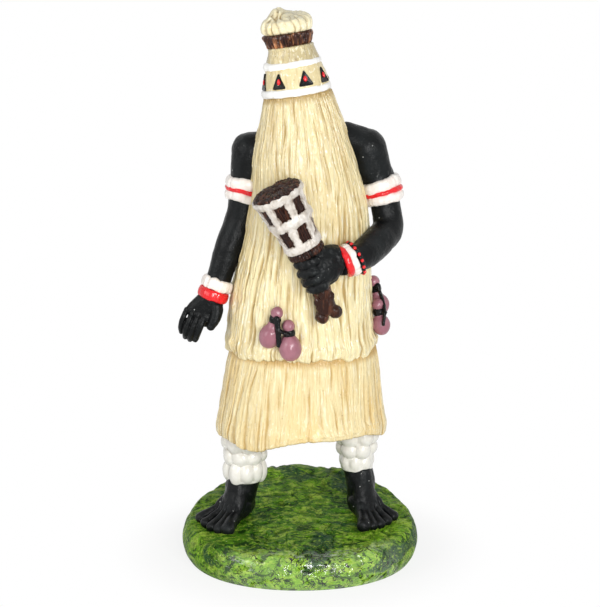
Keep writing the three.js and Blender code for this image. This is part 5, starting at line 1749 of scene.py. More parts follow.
@dataclass
class Arm:
    """A bare arm with its shoulder slope, and the bands laid round it."""

    side: Side
    offset: float
    drop: float
    shares: tuple[tuple[float, float, float, float], ...]
    slope: tuple[float, float, float, float]
    band_at: float
    shoulder_z: float
    seed: int
    setback: float = 3.0
    wrist_axis: Triple | None = None
    wrist_shift: Triple = (0.0, 0.0, 0.0)
    wrist_at: tuple[Triple, ...] = ((5.9, 1.6, 4.4), (2.0, 1.5, 4.0))
    bracelet_at: float = 6.7
    columns: int = 36
    rows: int = 90

    @property
    def name(self) -> str:
        """The side in small letters."""
        return self.side.name.lower()

    def _station(self, across: float, forward: float, down: float, radius: float) -> tuple[float, ...]:
        """A station of the arm from shares of its drop."""
        x = self.side.value * self.offset + across * self.drop
        return x, self.setback - forward * self.drop, self.shoulder_z - down * self.drop, radius, radius

    @property
    def stations(self) -> Array:
        """Stations from shoulder to wrist."""
        return np.array([self._station(*share) for share in self.shares])

    def at(self, distance: float) -> tuple[Array, Array, float]:
        """Place, way and radius at a distance from the start of the arm.

        Args:
            distance: Millimetres along the arm; a negative one counts back from the wrist.

        Returns:
            The point, the unit way down the arm and the half width there.
        """
        t = np.linspace(0, 1, 1501)
        line = spline(self.stations[:, :3], t)
        steps = np.linalg.norm(np.diff(line, axis=0), axis=1)
        run = np.concatenate([[0], np.cumsum(steps)])
        i = int(np.argmin(np.abs(run - (distance if distance >= 0 else run[-1] + distance))))
        i = min(max(i, 1), len(t) - 2)
        radius = spline(self.stations[:, 3:4], t[i : i + 1])[0, 0]
        return line[i], unit(line[i + 1] - line[i - 1]), float(radius)

    def frame_at(self, distance: float) -> Matrix:
        """Frame on the arm.

        Args:
            distance: Millimetres along the arm; a negative one counts back from the wrist.

        Returns:
            Its Z axis runs down the arm, or along the wrist's own axis.
        """
        point, way, _ = self.at(distance)
        if distance < 0 and self.wrist_axis:
            point, way = point + np.array(self.wrist_shift), self.wrist_axis
        return frame_along(point, way)

    def _skin(self) -> Piece:
        """The arm and its shoulder slope cast into one skin.

        Returns:
            The new piece.
        """
        arm = limb("arm", self.stations, self.columns, self.rows, ends=(1.0, 0.2))
        slope = limb("slope", [self.stations[0], self._station(*self.slope)], 28, 16)
        skin = fused(f"{self.name}_arm_skin", [arm, slope], 0.45, 6)
        roughened(skin, 0.2, 3.2, self.seed)
        roughened(skin, 0.06, 0.9, self.seed + 1)
        return skin

    def _soft_ring(self, ring: SoftRing) -> None:
        """Lays one ring of soft tufts round the arm.

        Args:
            ring: The ring.
        """
        label = f"{self.name}_{ring.label}"
        noise = Grain(self.seed + len(label) * 3 + ring.tufts)
        _, _, radius = self.at(ring.distance)
        thickness, height = ring.size
        sunk = 0.25

        def bulge(angle: Array) -> Array:
            """Fullness of the tufts."""
            drift = noise.around(angle, 2) * 1.4
            groove = crease(angle * ring.tufts / 2 + drift, 2.4)
            return 1 - ring.depth * groove + 0.08 * noise.around(angle, 9)

        def sway(angle: Array) -> Array:
            """Unevenness of its line."""
            return 0.3 * noise.around(angle, 2.3, shift=4)

        place = self.frame_at(ring.distance)
        piece = banded(label, place, radius - sunk, thickness + sunk, height, bulge, sway, ring.square)
        finished(piece, ring.finish, f"{self.name}_{ring.node}")

    def _bracelet(self, distance: float) -> None:
        """Black bead bracelet with a row of red dots round it.

        Args:
            distance: Its place along the arm.
        """
        _, _, radius = self.at(distance)
        place = self.frame_at(distance)
        reach = radius + 0.6
        count = 14
        blacks, reds = [], []
        rng = np.random.default_rng(self.seed)
        core = banded("bracelet_core", place, radius - 0.2, 1.3, 1.9, np.ones_like, columns=64)
        for i in range(count):
            angle = (i + 0.15 * rng.uniform(-1, 1)) / count * TURN
            z = 0.2 * rng.uniform(-1, 1)
            spot = place @ Vector((reach * math.cos(angle), reach * math.sin(angle), z))
            blacks.append(ball("bead", spot, rng.uniform(0.95, 1.2, 3)))
            turn = angle + 0.5 * TURN / count
            outer = place @ Vector(((reach + 0.75) * math.cos(turn), (reach + 0.75) * math.sin(turn), z))
            reds.append(ball("dot", outer, rng.uniform(0.58, 0.72, 3)))
        beads = fused("left_black_bead_bracelet", [core, *blacks], 0.22, 2)
        finished(beads, BLACK, "left_bead_bracelet")
        dots = joined("left_red_bead_dots", reds)
        smooth(dots)
        finished(dots, RED)

    def build(self) -> None:
        """Models the arm and its bands and paints them."""
        finished(self._skin(), SKIN, f"{self.name}_arm")
        at = self.band_at
        (roll_at, *roll), (cord_at, *cord) = self.wrist_at
        for ring in (
            SoftRing("armband_upper_tufts", "armband_upper", ROSY_WHITE, at - 2.35, (1.95, 4.5), 5, 0.1),
            SoftRing("armband_red_cord", "armband_cord", RED, at + 0.1, (1.9, 2.2), 3, 0.06),
            SoftRing("armband_lower_tufts", "armband_lower", ROSY_WHITE, at + 2.4, (1.75, 3.8), 6, 0.12),
            SoftRing("wrist_white_tufts", "wrist_roll", ROSY_WHITE, -roll_at, roll, 7, 0.24, 0.5),
            SoftRing("wrist_red_band", "wrist_cord", RED, -cord_at, cord, 5, 0.1, 0.4),
        ):
            self._soft_ring(ring)
        if self.side is Side.LEFT:
            self._bracelet(-self.bracelet_at)


# Hands


@dataclass
class OpenHand:
    """The right hand, hanging with its back to the front and its fingers a little curled.

    Places are shares of the hand's length across, forward of and below the wrist. The palm's half sizes are
    shares of the wrist's radius, and those of the web beside the thumb are millimetres.
    """

    wrist: Array
    length: float = 14.0
    thumb: float = 2.05
    wrist_radius: float = 4.2
    seed: int = 51
    palm: tuple = (
        ((0.05, -0.02, -0.14), 1.08, 0.9), ((-0.06, 0.02, 0.08), 1.2, 0.82),
        ((-0.22, 0.05, 0.28), 1.3, 0.66), ((-0.36, 0.07, 0.42), 1.26, 0.5),
    )
    web: tuple = (((0.0, 0.1, 0.18), 2.4, 1.7), ((-0.1, 0.17, 0.38), 2.2, 1.2))
    finger_sizes: tuple[float, ...] = (1.26, 1.16, 1.08, 0.98)
    finger_swell: tuple[float, ...] = (0.95, 1.05, 1.0, 0.9)
    thumb_swell: tuple[float, ...] = (1.1, 1.15, 1.0, 0.78)
    fingers: tuple = (
        ((-0.16, 0.15, 0.36), (-0.29, 0.225, 0.66), (-0.37, 0.19, 0.88), (-0.42, 0.08, 1.03)),
        ((-0.335, 0.175, 0.37), (-0.46, 0.235, 0.67), (-0.53, 0.19, 0.89), (-0.55, 0.08, 1.03)),
        ((-0.49, 0.155, 0.33), (-0.61, 0.205, 0.61), (-0.665, 0.16, 0.82), (-0.67, 0.05, 0.97)),
        ((-0.63, 0.1, 0.24), (-0.74, 0.14, 0.5), (-0.785, 0.09, 0.7), (-0.78, 0.0, 0.85)),
    )
    thumb_line: tuple = ((0.07, 0.06, 0.0), (0.14, 0.16, 0.2), (0.1, 0.25, 0.42), (-0.01, 0.3, 0.62))

    def _from_wrist(self, share: Numbers) -> Triple:
        """A point across, forward of and below the wrist, as shares of the hand's length."""
        x, y, z = self.wrist + np.array([share[0], -share[1], -share[2]]) * self.length
        return x, y, z

    def build(self) -> None:
        """Models the hand as one skin and paints it."""
        w = self.wrist_radius
        palm = [(*self._from_wrist(spot), w * wide, w * deep) for spot, wide, deep in self.palm]
        parts = [limb("palm", palm, ends=(0.3, 0.4))]
        for joints, r in zip(self.fingers, self.finger_sizes):
            line = [(*self._from_wrist(j), r * s, r * s) for j, s in zip(joints, self.finger_swell)]
            parts.append(limb("finger", line, 16, 24))
            out, forward, down = joints[0]
            knuckle = self._from_wrist((out, forward + 0.02, down))
            parts.append(ball("knuckle", knuckle, (r * 1.02, r * 0.95, r * 1.25)))
        r = self.thumb
        line = [(*self._from_wrist(p), r * s, r * s) for p, s in zip(self.thumb_line, self.thumb_swell)]
        parts.append(limb("thumb", line, 16, 24))
        web = [(*self._from_wrist(spot), wide, deep) for spot, wide, deep in self.web]
        parts.append(limb("web", web, 16, 12))
        hand = fused("right_open_hand", parts, 0.18, 1)
        roughened(hand, 0.1, 1.2, self.seed)
        creased(hand)
        finished(hand, SKIN, "right_hand")


@dataclass
class GripHand:
    """The left hand, closed round the scepter's handle.

    A line's stations are shares of the fist's length, half height and half thickness, then of the rod's half
    width and half depth. A finger's also say whether the station follows the bow of the knuckles.
    """

    wrist: Array
    grip: Array
    up: Array
    half_height: float = 6.6
    half_thickness: float = 5.2
    length: float = 9.4
    finger: float = 1.9
    thumb: float = 1.95
    wrist_radius: float = 4.7
    seed: int = 61
    back_line: tuple = (
        (-0.7, 0.0, 0.02, 0.9, 0.95), (-0.3, 0.0, 0.12, 0.99, 0.98), (0.05, 0.0, 0.1, 0.97, 0.95),
        (0.28, 0.0, -0.05, 0.88, 0.74),
    )
    finger_line: tuple = (
        (-0.2, 0.8, 0.56, 0.7, 0.7, 0), (0.06, 0.98, 0.82, 0.98, 1, 1), (0.32, 1.04, 0.62, 0.98, 1, 1),
        (0.49, 1.04, 0.14, 1, 1.02, 1), (0.42, 1, -0.35, 0.95, 0.95, 0), (0.16, 0.95, -0.62, 0.85, 0.85, 0),
    )
    thumb_line: tuple = (
        (-0.72, 0.35, 0.1, 1.05, 1.05), (-0.4, 0.78, 0.3, 1.08, 1.05), (-0.08, 0.94, 0.42, 1, 1),
        (0.16, 0.88, 0.5, 0.85, 0.85),
    )

    def build(self) -> None:
        """Models the fist as one skin and paints it."""
        to_grip = self.grip - self.wrist
        way = unit(to_grip - self.up * np.dot(to_grip, self.up))
        out = unit(np.cross(self.up, way))
        ref = np.cross(way, self.up)
        tall, thick, long = self.half_height, self.half_thickness, self.length

        def spot(along: float, up: float, forward: float) -> Triple:
            """A point of the fist as shares of its length, half height and half thickness."""
            x, y, z = self.grip + way * along * long + self.up * up * tall + out * forward * thick
            return x, y, z

        back = [(*self.wrist, self.wrist_radius, self.wrist_radius)]
        back += [(*spot(a, u, f), tall * wide, thick * deep) for a, u, f, wide, deep in self.back_line]
        parts = [limb("back", back, 28, 30, front=ref, ends=(0.2, 0.4))]
        pitch = (2 - 2 * self.finger / tall) / 3
        for i in range(4):
            up = 1 - self.finger / tall - i * pitch
            bow = 0.05 * (1.5 - abs(i - 1.5))
            r = self.finger * (0.88 if i == 3 else 0.96)
            line = [
                (*spot(a + bow * bowed, up * u, f), r * wide, r * deep)
                for a, u, f, wide, deep, bowed in self.finger_line
            ]
            parts.append(limb("finger", line, 16, 40, front=self.up))
        r = self.thumb
        line = [(*spot(a, u, f), r * wide, r * deep) for a, u, f, wide, deep in self.thumb_line]
        parts.append(limb("thumb", line, 16, 30, front=ref))
        hand = fused("left_grip_hand", parts, 0.24, 2)
        roughened(hand, 0.42, 2.1, self.seed)
        roughened(hand, 0.1, 0.8, self.seed + 1)
        creased(hand)
        finished(hand, SKIN, "left_hand")


# Scepter


@dataclass
class Scepter:
    """Ritual broom scepter: brown straw bundle in a white lattice on a knobbed handle."""

    place: Matrix
    handle_radius: float = 3.1
    below_grip: float = 14.9
    foot_shift: float = -3.0
    knob: float = 2.5
    gnarls: tuple = ((-0.6, -2.5, 7.4, 1.7), (1.6, -2.2, 8.6, 1.3), (-2.3, -1.4, 9.2, 1.3))
    collar_z: float = 6.7
    collar_height: float = 2.7
    collar_radius: float = 6.5
    head_z: float = 9.7
    head_length: float = 22.3
    base_radius: float = 6.3
    top_radius: float = 9.1
    window_rows: tuple[tuple[float, float, int, float], ...] = ((15.9, 2.9, 7, -5.0), (6.2, 3.0, 6, 25.0))
    window_half_width: float = 2.1
    middle_ring: float = 11.0
    seed: int = 71

    def radius(self, rise: Array) -> Array:
        """Outer radius of the plain head at a height over its foot."""
        return self.base_radius + (self.top_radius - self.base_radius) * rise / self.head_length

    def _handle(self) -> None:
        """Knotty handle with two round knobs at its foot."""
        r, low, aside = self.handle_radius, -self.below_grip, self.foot_shift

        def spot(x: float, y: float, z: float) -> Triple:
            """A point beside the handle's line, which bends sideways to its foot."""
            bend = aside * min(max(-z / self.below_grip, 0), 1) ** 1.3
            return tuple(self.place @ Vector((x + bend, y, z)))

        shaft = [
            (*spot(0, 0, 9), r * 0.9, r * 0.9), (*spot(0.1, 0, 0), r, r),
            (*spot(-0.1, 0, low + 8), r * 1.1, r), (*spot(0, 0, low), r * 1.15, r * 0.9),
        ]
        parts = [limb("shaft", shaft, 24, 40, ends=(0, 0.4))]
        for side in (-1, 1):
            leg = [(*spot(side * 1.0, 0, low + 3), 1.9, 1.9), (*spot(side * 2.2, 0, low - 0.6), 2.05, 2.05)]
            parts.append(limb("leg", leg, 16, 10))
            knob = spot(side * 2.5, 0, low - 1.3)
            parts.append(ball("knob", knob, (self.knob, self.knob * 0.95, self.knob * 0.98)))
            parts.append(ball("gnarl", spot(side * 2.4, -1.4, low + 4.8), (1.6, 1.3, 1.9)))
        for x, y, z, size in self.gnarls:
            parts.append(ball("gnarl", spot(x, y, low + z), (size, size * 0.8, size * 1.2)))
        handle = fused("scepter_knobbed_handle", parts, 0.26, 2)
        roughened(handle, 0.35, 1.6, self.seed)
        finished(handle, BROWN, "scepter_handle")

    def _collar(self) -> None:
        """Brown binding under the head."""
        r, low, high = self.collar_radius, self.collar_z - 0.3, self.collar_z + self.collar_height + 0.6
        noise = Grain(self.seed + 1)
        profile = [
            (0, low), (r - 1.8, low), (r - 0.5, low + 0.4), (r, low + 1.4), (r - 0.1, high - 0.9),
            (r - 0.6, high), (0, high),
        ]

        def relief(angle: Array, z: Array) -> Arrays:
            """Upright straw ends."""
            cut = crease(angle * 15 + 1.5 * noise.around(angle, 5), 1.6)
            lump = 0.45 * noise.around(angle, 7, z / 1.4)
            return lump - 0.35 * cut, cut * 0.6 - lump

        collar = turned("scepter_brown_collar", profile, self.place, 200, 36, relief)
        finished(collar, BROWN, "scepter_collar")

    def _bundle(self) -> None:
        """Brown straw bundle with a ragged top of cut ends."""
        columns, rows = 240, 110
        noise = Grain(self.seed + 2)
        foot, top = self.head_z, self.head_z + self.head_length
        low, rim = foot - 0.2, self.top_radius - 0.25
        outline = np.array([
            [0, low], [self.base_radius - 0.9, low + 0.2], [self.radius(5) - 0.55, foot + 5],
            [self.radius(12) - 0.55, foot + 12], [self.radius(18) - 0.5, foot + 18], [rim, top - 0.3],
            [rim - 0.5, top + 0.35], [rim * 0.66, top + 0.75], [rim * 0.33, top + 0.9], [0, top + 0.95],
        ])

        def shape(column: Array, row: Array) -> Form:
            """Points of the bundle."""
            share = row / rows
            angle = column / columns * TURN
            radius, level = swept(outline, share)
            on_top = ease(0.56, 0.68, share)
            cut = crease(angle * 24 + 1.8 * noise.around(angle, 6, share * 2), 1.5)
            x, y = radius * np.cos(angle), radius * np.sin(angle)
            rough = noise.at(x / 0.9, y / 0.9, level / 3)
            radius = radius + (1 - on_top) * np.clip(radius / 3, 0, 1) * (0.18 * rough - 0.35 * cut)
            ends = crease(angle * 17 + 2.4 * noise.at(x / 2, y / 2), 2)
            z = level + on_top * (0.45 * rough - 0.5 * ends * np.clip(radius / 3, 0, 1))
            groove = np.where(on_top > 0.5, ends - 0.5 * rough, cut * 0.9)
            return Form(moved(ringed(radius, angle, z), self.place), groove)

        bundle = rolled("scepter_straw_bundle", columns, rows, shape)
        finished(bundle, BROWN, "scepter_bundle")

    def _window(self, angle: Array, rise: Array, noise: Grain) -> Array:
        """How far inside a window a place is; above zero is inside.

        Args:
            angle: Angles round the head.
            rise: Heights over the head's foot.
            noise: Unevenness of the edges.

        Returns:
            Distance inside the nearest window's edge in millimetres.
        """
        inside = np.full_like(angle, -9.0)
        for middle, half, count, first in self.window_rows:
            turn = (angle + math.pi / 2 - math.radians(first)) / TURN * count
            aside = (turn - np.rint(turn)) * TURN / count * self.radius(np.full_like(rise, middle))
            edge = np.minimum(self.window_half_width - np.abs(aside), half - np.abs(rise - middle))
            inside = np.maximum(inside, edge)
        return inside + 0.32 * noise.around(angle, 14, rise / 0.9)

    def _lattice(self) -> None:
        """White woven sleeve with two staggered rows of windows cut through it."""
        columns, rows = 420, 130
        noise = Grain(self.seed + 3)
        long = self.head_length

        def shape(column: Array, row: Array) -> Form:
            """Points of the sleeve's outer face."""
            angle = column / columns * TURN
            rise = row / rows * (long - 0.6)
            inside = self._window(angle, rise, noise)
            rings = 0.45 * hump(rise - 1.1, 1.4) + 0.5 * hump(rise - long + 1.6, 1.5)
            rings = rings + 0.6 * hump(rise - self.middle_ring, 1.4)
            lumps = 0.3 * noise.around(angle, 7, rise / 1.8)
            fine = 0.14 * noise.around(angle, 19, rise / 0.7)
            posts = -0.2 * ease(-1.6, -0.2, inside)
            radius = self.radius(rise) + rings + lumps + fine + posts + 0.12
            ragged = 0.5 * noise.around(angle, 9, shift=3) * ease(long - 2.2, long - 0.6, rise)
            points = ringed(radius, angle, self.head_z + rise + ragged)
            # Less wash on the lumps and rings, and painted shade darkening the posts towards each window's
            # edge
            groove = 0.1 - lumps * 1.6 - fine * 1.6 - rings * 0.5 + 0.5 * ease(-0.7, 0, inside)
            return Form(moved(points, self.place), np.clip(groove, 0, 1))

        sleeve = rolled("scepter_white_lattice", columns, rows, shape)
        local = moved(vectors_of(sleeve.data.polygons, "center") / MM, self.place.inverted())
        angle = np.arctan2(local[:, 1], local[:, 0])
        inside = self._window(angle, local[:, 2] - self.head_z, noise)
        pick(sleeve)
        bpy.ops.object.mode_set(mode="EDIT")
        bpy.ops.mesh.select_mode(type="FACE")
        bpy.ops.object.mode_set(mode="OBJECT")
        sleeve.data.polygons.foreach_set("select", inside > 0)
        bpy.ops.object.mode_set(mode="EDIT")
        bpy.ops.mesh.delete(type="FACE")
        bpy.ops.object.mode_set(mode="OBJECT")
        modify(sleeve, "SMOOTH", factor=0.5, iterations=4)
        modify(sleeve, "SOLIDIFY", thickness=1.3 * MM, offset=-1.0)
        smooth(sleeve)
        finished(sleeve, LATTICE_WHITE, "scepter_lattice")

    def build(self) -> None:
        """Models the scepter and paints it."""
        self._handle()
        self._collar()
        self._bundle()
        self._lattice()


# Gourds


@dataclass
class Gourd:
    """Place of one gourd on the veil: bearing, height over the hem, leans, size and share of its neck."""

    label: str
    bearing: float
    rise: float
    lean: float
    tip: float
    share: float
    neck: float = 1.2


@dataclass
class GourdPair:
    """Two mauve gourds tied at their waists by a black ribbon."""

    name: str
    upper: Gourd
    lower: Gourd
    veil: StrawFall
    tail: tuple[Triple, ...]
    body: float = 3.6
    half: float = 4.3
    waist: float = 1.5
    bulb: float = 2.2
    standoff: float = 1.5
    tail_width: float = 2.1
    link_from: int = 1
    seed: int = 81
    body_line: tuple = ((0, -1), (0.42, -0.93), (0.82, -0.6), (1, -0.08), (0.88, 0.46), (0.56, 0.88))
    bulb_line: tuple = ((0.82, 0.55), (1, 1.15), (0.72, 1.85), (0.3, 2.14), (0, 2.2))

    def _frame(self, gourd: Gourd) -> tuple[Matrix, Array]:
        """Frame in the middle of a gourd's body.

        Args:
            gourd: The gourd.

        Returns:
            The frame, with Z to the stalk end, and the way off the veil.
        """
        at, out = self.veil.point(gourd.bearing, gourd.rise)
        aside = Vector((0, 0, 1)).cross(Vector(out))
        up = Vector((0, 0, 1))
        up.rotate(Matrix.Rotation(-math.radians(gourd.lean), 3, Vector(out)))
        up.rotate(Matrix.Rotation(math.radians(gourd.tip), 3, aside))
        return frame_along(at + out * self.standoff, up), out

    def _gourd(self, gourd: Gourd) -> None:
        """One gourd: a full body, a narrow waist and a small bulb.

        Args:
            gourd: Its place and size.
        """
        place, _ = self._frame(gourd)
        body, half = self.body * gourd.share, self.half * gourd.share
        waist, b = half * gourd.neck, self.bulb
        profile = [(body * wide, half * high) for wide, high in self.body_line]
        profile += [(self.waist * 1.15, waist - half * 0.16), (self.waist, waist)]
        profile += [(b * wide, waist + b * high) for wide, high in self.bulb_line]
        noise = Grain(self.seed + len(gourd.label))

        def relief(angle: Array, z: Array) -> Arrays:
            """Slight lumps, and a shade of wash in the waist."""
            lump = 0.16 * noise.around(angle, 1.5, z / 3)
            return lump, 0.8 * hump(z - waist, 0.8)

        piece = turned(f"{self.name}_{gourd.label}_mauve_gourd", profile, place, 56, 56, relief)
        finished(piece, MAUVE, f"{self.name}_gourd_{gourd.label}")

    def _ribbon(self) -> None:
        """Black ribbon: a band round each waist, a knot and a hanging tail."""
        waists = []
        parts = []
        noise = Grain(self.seed)

        def bulge(angle: Array) -> Array:
            """Fullness of a band."""
            return 1 + 0.12 * noise.around(angle, 3)

        for gourd in (self.upper, self.lower):
            place, out = self._frame(gourd)
            centre = place @ Matrix.Translation((0, 0, self.half * gourd.share * gourd.neck))
            waists.append((np.array(centre.translation), out))
            parts.append(banded("band", centre, self.waist - 0.3, 0.95, 2.9, bulge, columns=48))
        (top, out), (low, low_out) = waists
        aside = low - top
        aside[2] = 0
        aside = unit(aside)
        w = self.tail_width / 2
        spots = [top + aside * a + out * o - np.array([0, 0, d]) for a, o, d in self.tail]
        tail = [(*spot, w, 0.6) for spot in spots]
        parts.append(limb("tail", tail, 20, 40, front=tuple(out), ends=(0.5, 0.4)))
        parts.append(ball("knot", spots[0], (1.2, 1.0, 1.3)))
        link = [(*spots[self.link_from], 0.95, 0.6), (*(low + low_out * (self.waist + 0.5)), 0.95, 0.6)]
        parts.append(limb("link", link, 16, 10, front=(0, 0, 1)))
        ribbon = fused(f"{self.name}_gourd_black_ribbon", parts, 0.2, 2)
        roughened(ribbon, 0.12, 1.1, self.seed)
        finished(ribbon, BLACK, f"{self.name}_gourd_ribbon")

    def build(self) -> None:
        """Models the pair and paints it."""
        self._gourd(self.upper)
        self._gourd(self.lower)
        self._ribbon()


# Studio


@dataclass(frozen=True)
class Lamp:
    """A soft lamp: its place, width and height in metres and its power in watts."""

    name: str
    at: Triple
    wide: float
    tall: float
    power: float


@dataclass
class Studio:
    """Pale floor, soft lamps and a camera at the photograph's viewing angle; sizes in metres."""

    elevation: float = 16.0
    distance: float = 1.0
    aim: float = 0.0933
    lens: float = 166.06
    sensor: float = 36.0
    floor_size: float = 6.0
    paper: Colour = (246, 246, 246)
    glow: Colour = (255, 255, 255)
    shadow_reach: Pair = (0.044, 0.072)
    shadow_glow: float = 0.84
    clear_glow: float = 0.16
    sky: float = 0.36
    lamp_aim: float = 0.1
    lamps: tuple[Lamp, ...] = (
        Lamp("key_lamp", (0.46, -1.0, 0.48), 0.26, 0.26, 4.4),
        Lamp("fill_lamp", (-0.8, -0.55, 0.5), 0.5, 0.5, 2.9),
        Lamp("strip_lamp", (0.17, -1.0, 0.3), 0.08, 0.54, 4.3),
    )

    def _floor(self) -> None:
        """White floor that keeps the shadow near the statuette and fades to plain white."""
        deselect()
        bpy.ops.mesh.primitive_plane_add(size=self.floor_size)
        floor = named("studio_floor")
        sheet = PaintSheet(bpy.data.materials.new("studio_floor_white"))
        clear = sheet.away((1.0, 1.0, 1.0)).ease(*self.shadow_reach)
        factor = (self.shadow_glow + self.clear_glow * clear) * sheet.seen()
        paper = sheet.node("BsdfDiffuse", {}, {"Color": linear(self.paper)})
        glow = sheet.node("Emission", {}, {"Color": linear(self.glow), "Strength": 1.0})
        mixed = sheet.node("MixShader", {}, {0: factor, 1: paper, 2: glow})
        sheet.node("OutputMaterial", {}, {"Surface": mixed})
        floor.data.materials.append(sheet.owner)

    def _world(self) -> None:
        """Even soft light, white where it is seen."""
        world = bpy.data.worlds.new("studio_world")
        bpy.context.scene.world = world
        sheet = PaintSheet(world)
        light, white = (
            sheet.node("Background", {}, {"Color": linear(self.glow), "Strength": strength})
            for strength in (self.sky, 1.0)
        )
        mixed = sheet.node("MixShader", {}, {0: sheet.seen(), 1: light, 2: white})
        sheet.node("OutputWorld", {}, {"Surface": mixed})

    @staticmethod
    def _aimed(name: str, data: bpy.types.ID, at: Vector, target: Vector) -> Piece:
        """Puts a lamp or the camera in its place.

        Args:
            name: Its name.
            data: The lamp or the camera.
            at: Where it stands.
            target: What it looks at.

        Returns:
            The new object.
        """
        obj = bpy.data.objects.new(name, data)
        bpy.context.scene.collection.objects.link(obj)
        turn = (target - at).to_track_quat("-Z", "Y")
        obj.matrix_world = Matrix.Translation(at) @ turn.to_matrix().to_4x4()
        return obj

    def build(self) -> None:
        """Sets the floor, the light and the camera."""
        self._floor()
        self._world()
        for lamp in self.lamps:
            light = bpy.data.lights.new(lamp.name, "AREA")
            light.shape = "RECTANGLE"
            light.size, light.size_y, light.energy = lamp.wide, lamp.tall, lamp.power
            self._aimed(lamp.name, light, Vector(lamp.at), Vector((0, 0, self.lamp_aim)))
        camera = bpy.data.cameras.new("photo_camera")
        camera.lens, camera.sensor_width = self.lens, self.sensor
        rise = math.radians(self.elevation)
        target = Vector((0, 0, self.aim))
        at = target + Vector((0, -math.cos(rise), math.sin(rise))) * self.distance
        bpy.context.scene.camera = self._aimed("photo_camera", camera, at, target)
        bpy.context.scene.view_settings.view_transform = "Standard"


# The statuette


SKIRT_HEM = 47.97
VEIL_HEM = 77.97
CROWN_FOOT = 169.67
CROWN_TILT = 8.5
CROWN_LEAN = 6.5
CROWN_SHIFT = -0.8
SHOULDERS = 148.57

SKIRT_BELTS = (
    Belt(0, 0.4, 30.7, 24.5), Belt(8.4, 0.4, 29.47, 23.69), Belt(29.0, 1.2, 26.3, 21.25),
    Belt(36.0, 1.2, 22.3, 17.25),
)
VEIL_BELTS = (
    Belt(0, 0.4, 27.3, 22.5), Belt(22.01, 0.7, 25.0, 21.49), Belt(51.35, 2.7, 21.2, 19.3),
    Belt(70.61, 1.2, 18.0, 17.2, 1.02), Belt(82.53, 0.2, 14.6, 14.3, 5.0),
    Belt(91.7, -0.8, 11.9, 11.9, 8.5),
)
RIGHT_ARM_SHARES = (
    (-0.004, 0, 0, 6.7), (-0.015, 0.004, 0.105, 6.5), (-0.027, 0.01, 0.234, 5.78),
    (-0.051, 0.019, 0.367, 5.51), (-0.078, 0.029, 0.479, 5.4), (-0.15, 0.072, 0.654, 5.13),
    (-0.213, 0.11, 0.844, 4.4), (-0.27, 0.137, 1, 4.0),
)
LEFT_ARM_SHARES = (
    (0.006, 0, -0.024, 7.1), (0.048, 0.006, 0.114, 6.75), (0.114, 0.015, 0.265, 5.94),
    (0.169, 0.03, 0.416, 5.56), (0.214, 0.054, 0.62, 5.29), (0.229, 0.12, 0.815, 5.6),
    (0.09, 0.373, 0.93, 5.6), (-0.09, 0.633, 1.01, 4.9), (-0.28, 0.813, 1.03, 4.3),
)
# Tips of the toes from the big one: towards the small toe, towards the toes, and half width
RIGHT_TOES = ((-6.9, 18.3, 2.4), (-2.8, 18.9, 1.9), (1.1, 18.7, 1.85), (5.6, 17.4, 1.9), (10.6, 14.8, 1.95))
LEFT_TOES = ((-6.9, 17.2, 2.4), (-2.7, 17.0, 1.85), (0.8, 16.9, 1.85), (5.0, 15.4, 1.85), (9.7, 12.8, 1.9))
# Places of the gourds' ribbon tails: towards the other gourd, off the veil and down
FRONT_TAIL = ((1.5, 2.3, -0.6), (2.0, 2.6, 3.2), (2.1, 2.2, 6.4), (2.1, 1.6, 9.4))
SIDE_TAIL = ((2.0, 0.2, -1.2), (4.4, 1.6, 3.6), (8.0, 1.2, 6.8), (9.4, 0.4, 11.0))
GRIP = np.array([5.65, -26.9, 112.82])
SCEPTER_TILT = 25.8
SCEPTER_LEAN = 3


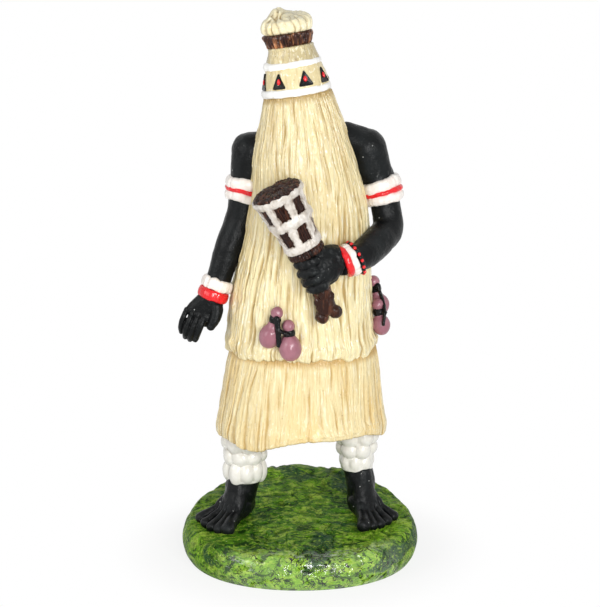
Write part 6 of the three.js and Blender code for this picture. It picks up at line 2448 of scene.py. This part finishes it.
def main() -> None:
    """Builds the statuette from the ground up, then the studio round it."""
    logging.basicConfig(level=logging.INFO, format="%(name)s %(message)s")
    base = GrassBase()
    base.build()
    tiers = {"lower": ((7.9, 7.0),), "upper": ((8.0, 5.4), (8.5, 5.6))}
    Leg(
        Side.RIGHT, at=(-20.0, -0.5), turn=40.0, ankle=14.8, shin=5.9, tiers=tiers, ground=base,
        hem=SKIRT_HEM, seed=21, toes=RIGHT_TOES,
    ).build()
    tiers = {"lower": ((6.3, 5.6),), "upper": ((7.4, 5.0), (8.0, 5.6))}
    Leg(
        Side.LEFT, at=(20.6, 2.0), turn=30.0, ankle=18.0, shin=5.3, tiers=tiers, ground=base,
        hem=SKIRT_HEM, seed=22, toes=LEFT_TOES, reach=17.8,
    ).build()

    skirt = StrawFall(
        "straw_lower_skirt", "lower_skirt", SKIRT_STRAW, SKIRT_BELTS, SKIRT_HEM,
        strands=72, levels=44, hem_wave=skirt_hem, seed=41,
        relief=0.36, splits=3, split_depth=0.2, lumpy=0.9, roll=0.4, roll_height=3.0, lip=1.3,
        tip_jitter=0.35, tip_round=0.3, stain=0.6, lip_darkening=0.8, bead=0.3, shade=(26.0, 29.5),
    )
    skirt.build()
    veil = StrawFall(
        "straw_hood_veil", "straw_veil", STRAW, VEIL_BELTS, VEIL_HEM,
        strands=62, levels=96, hem_wave=veil_hem, seed=42,
        splits=3, split_depth=0.34, lumpy=1.4, roll=0.6, lip=2.0, lip_rows=12,
        tip_jitter=1.0, tip_round=0.8, stain=0.85, bead=0.7, lean=CROWN_LEAN / CROWN_TILT,
    )
    veil.build()

    tilt = rotation(-CROWN_LEAN, "X") @ rotation(-CROWN_TILT, "Y")
    Crown(Matrix.Translation((CROWN_SHIFT, 0, CROWN_FOOT)) @ tilt).build()

    right = Arm(
        Side.RIGHT, offset=17.3, drop=52.6, shares=RIGHT_ARM_SHARES, slope=(0.114, 0, -0.049, 5.0),
        band_at=13.9, shoulder_z=SHOULDERS, seed=23,
    )
    left = Arm(
        Side.LEFT, offset=23.4, drop=33.2, shares=LEFT_ARM_SHARES, slope=(-0.211, 0, -0.15, 5.3),
        band_at=16.2, shoulder_z=SHOULDERS, seed=24, wrist_axis=(-0.85, -0.35, -0.37),
        wrist_shift=(1.1, 0, 0.9), wrist_at=((3.0, 1.6, 3.2), (0.4, 1.5, 2.5)), bracelet_at=5.7,
    )
    right.build()
    left.build()

    lean = rotation(-SCEPTER_TILT, "Y") @ rotation(SCEPTER_LEAN, "X")
    OpenHand(right.stations[-1, :3]).build()
    GripHand(left.stations[-1, :3], GRIP, np.array(lean @ Vector((0, 0, 1)))).build()
    Scepter(Matrix.Translation(Vector(GRIP)) @ lean).build()

    upper = Gourd("upper", bearing=-113.5, rise=9.72, lean=17, tip=0, share=1.05, neck=1.45)
    lower = Gourd("lower", bearing=-98, rise=5.87, lean=-4, tip=0, share=1.1, neck=1.16)
    GourdPair("front", upper, lower, veil, FRONT_TAIL).build()
    upper = Gourd("upper", bearing=2, rise=15.04, lean=6, tip=-16, share=0.9, neck=1.5)
    lower = Gourd("lower", bearing=-9, rise=8.71, lean=4, tip=-10, share=0.9)
    GourdPair("side", upper, lower, veil, SIDE_TAIL, standoff=2.4, link_from=2, seed=91).build()

    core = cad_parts["torso_core"]
    core.data.materials.clear()
    core.data.materials.append(RESIN.material())

    Studio().build()


if __name__ == "__main__":
    main()
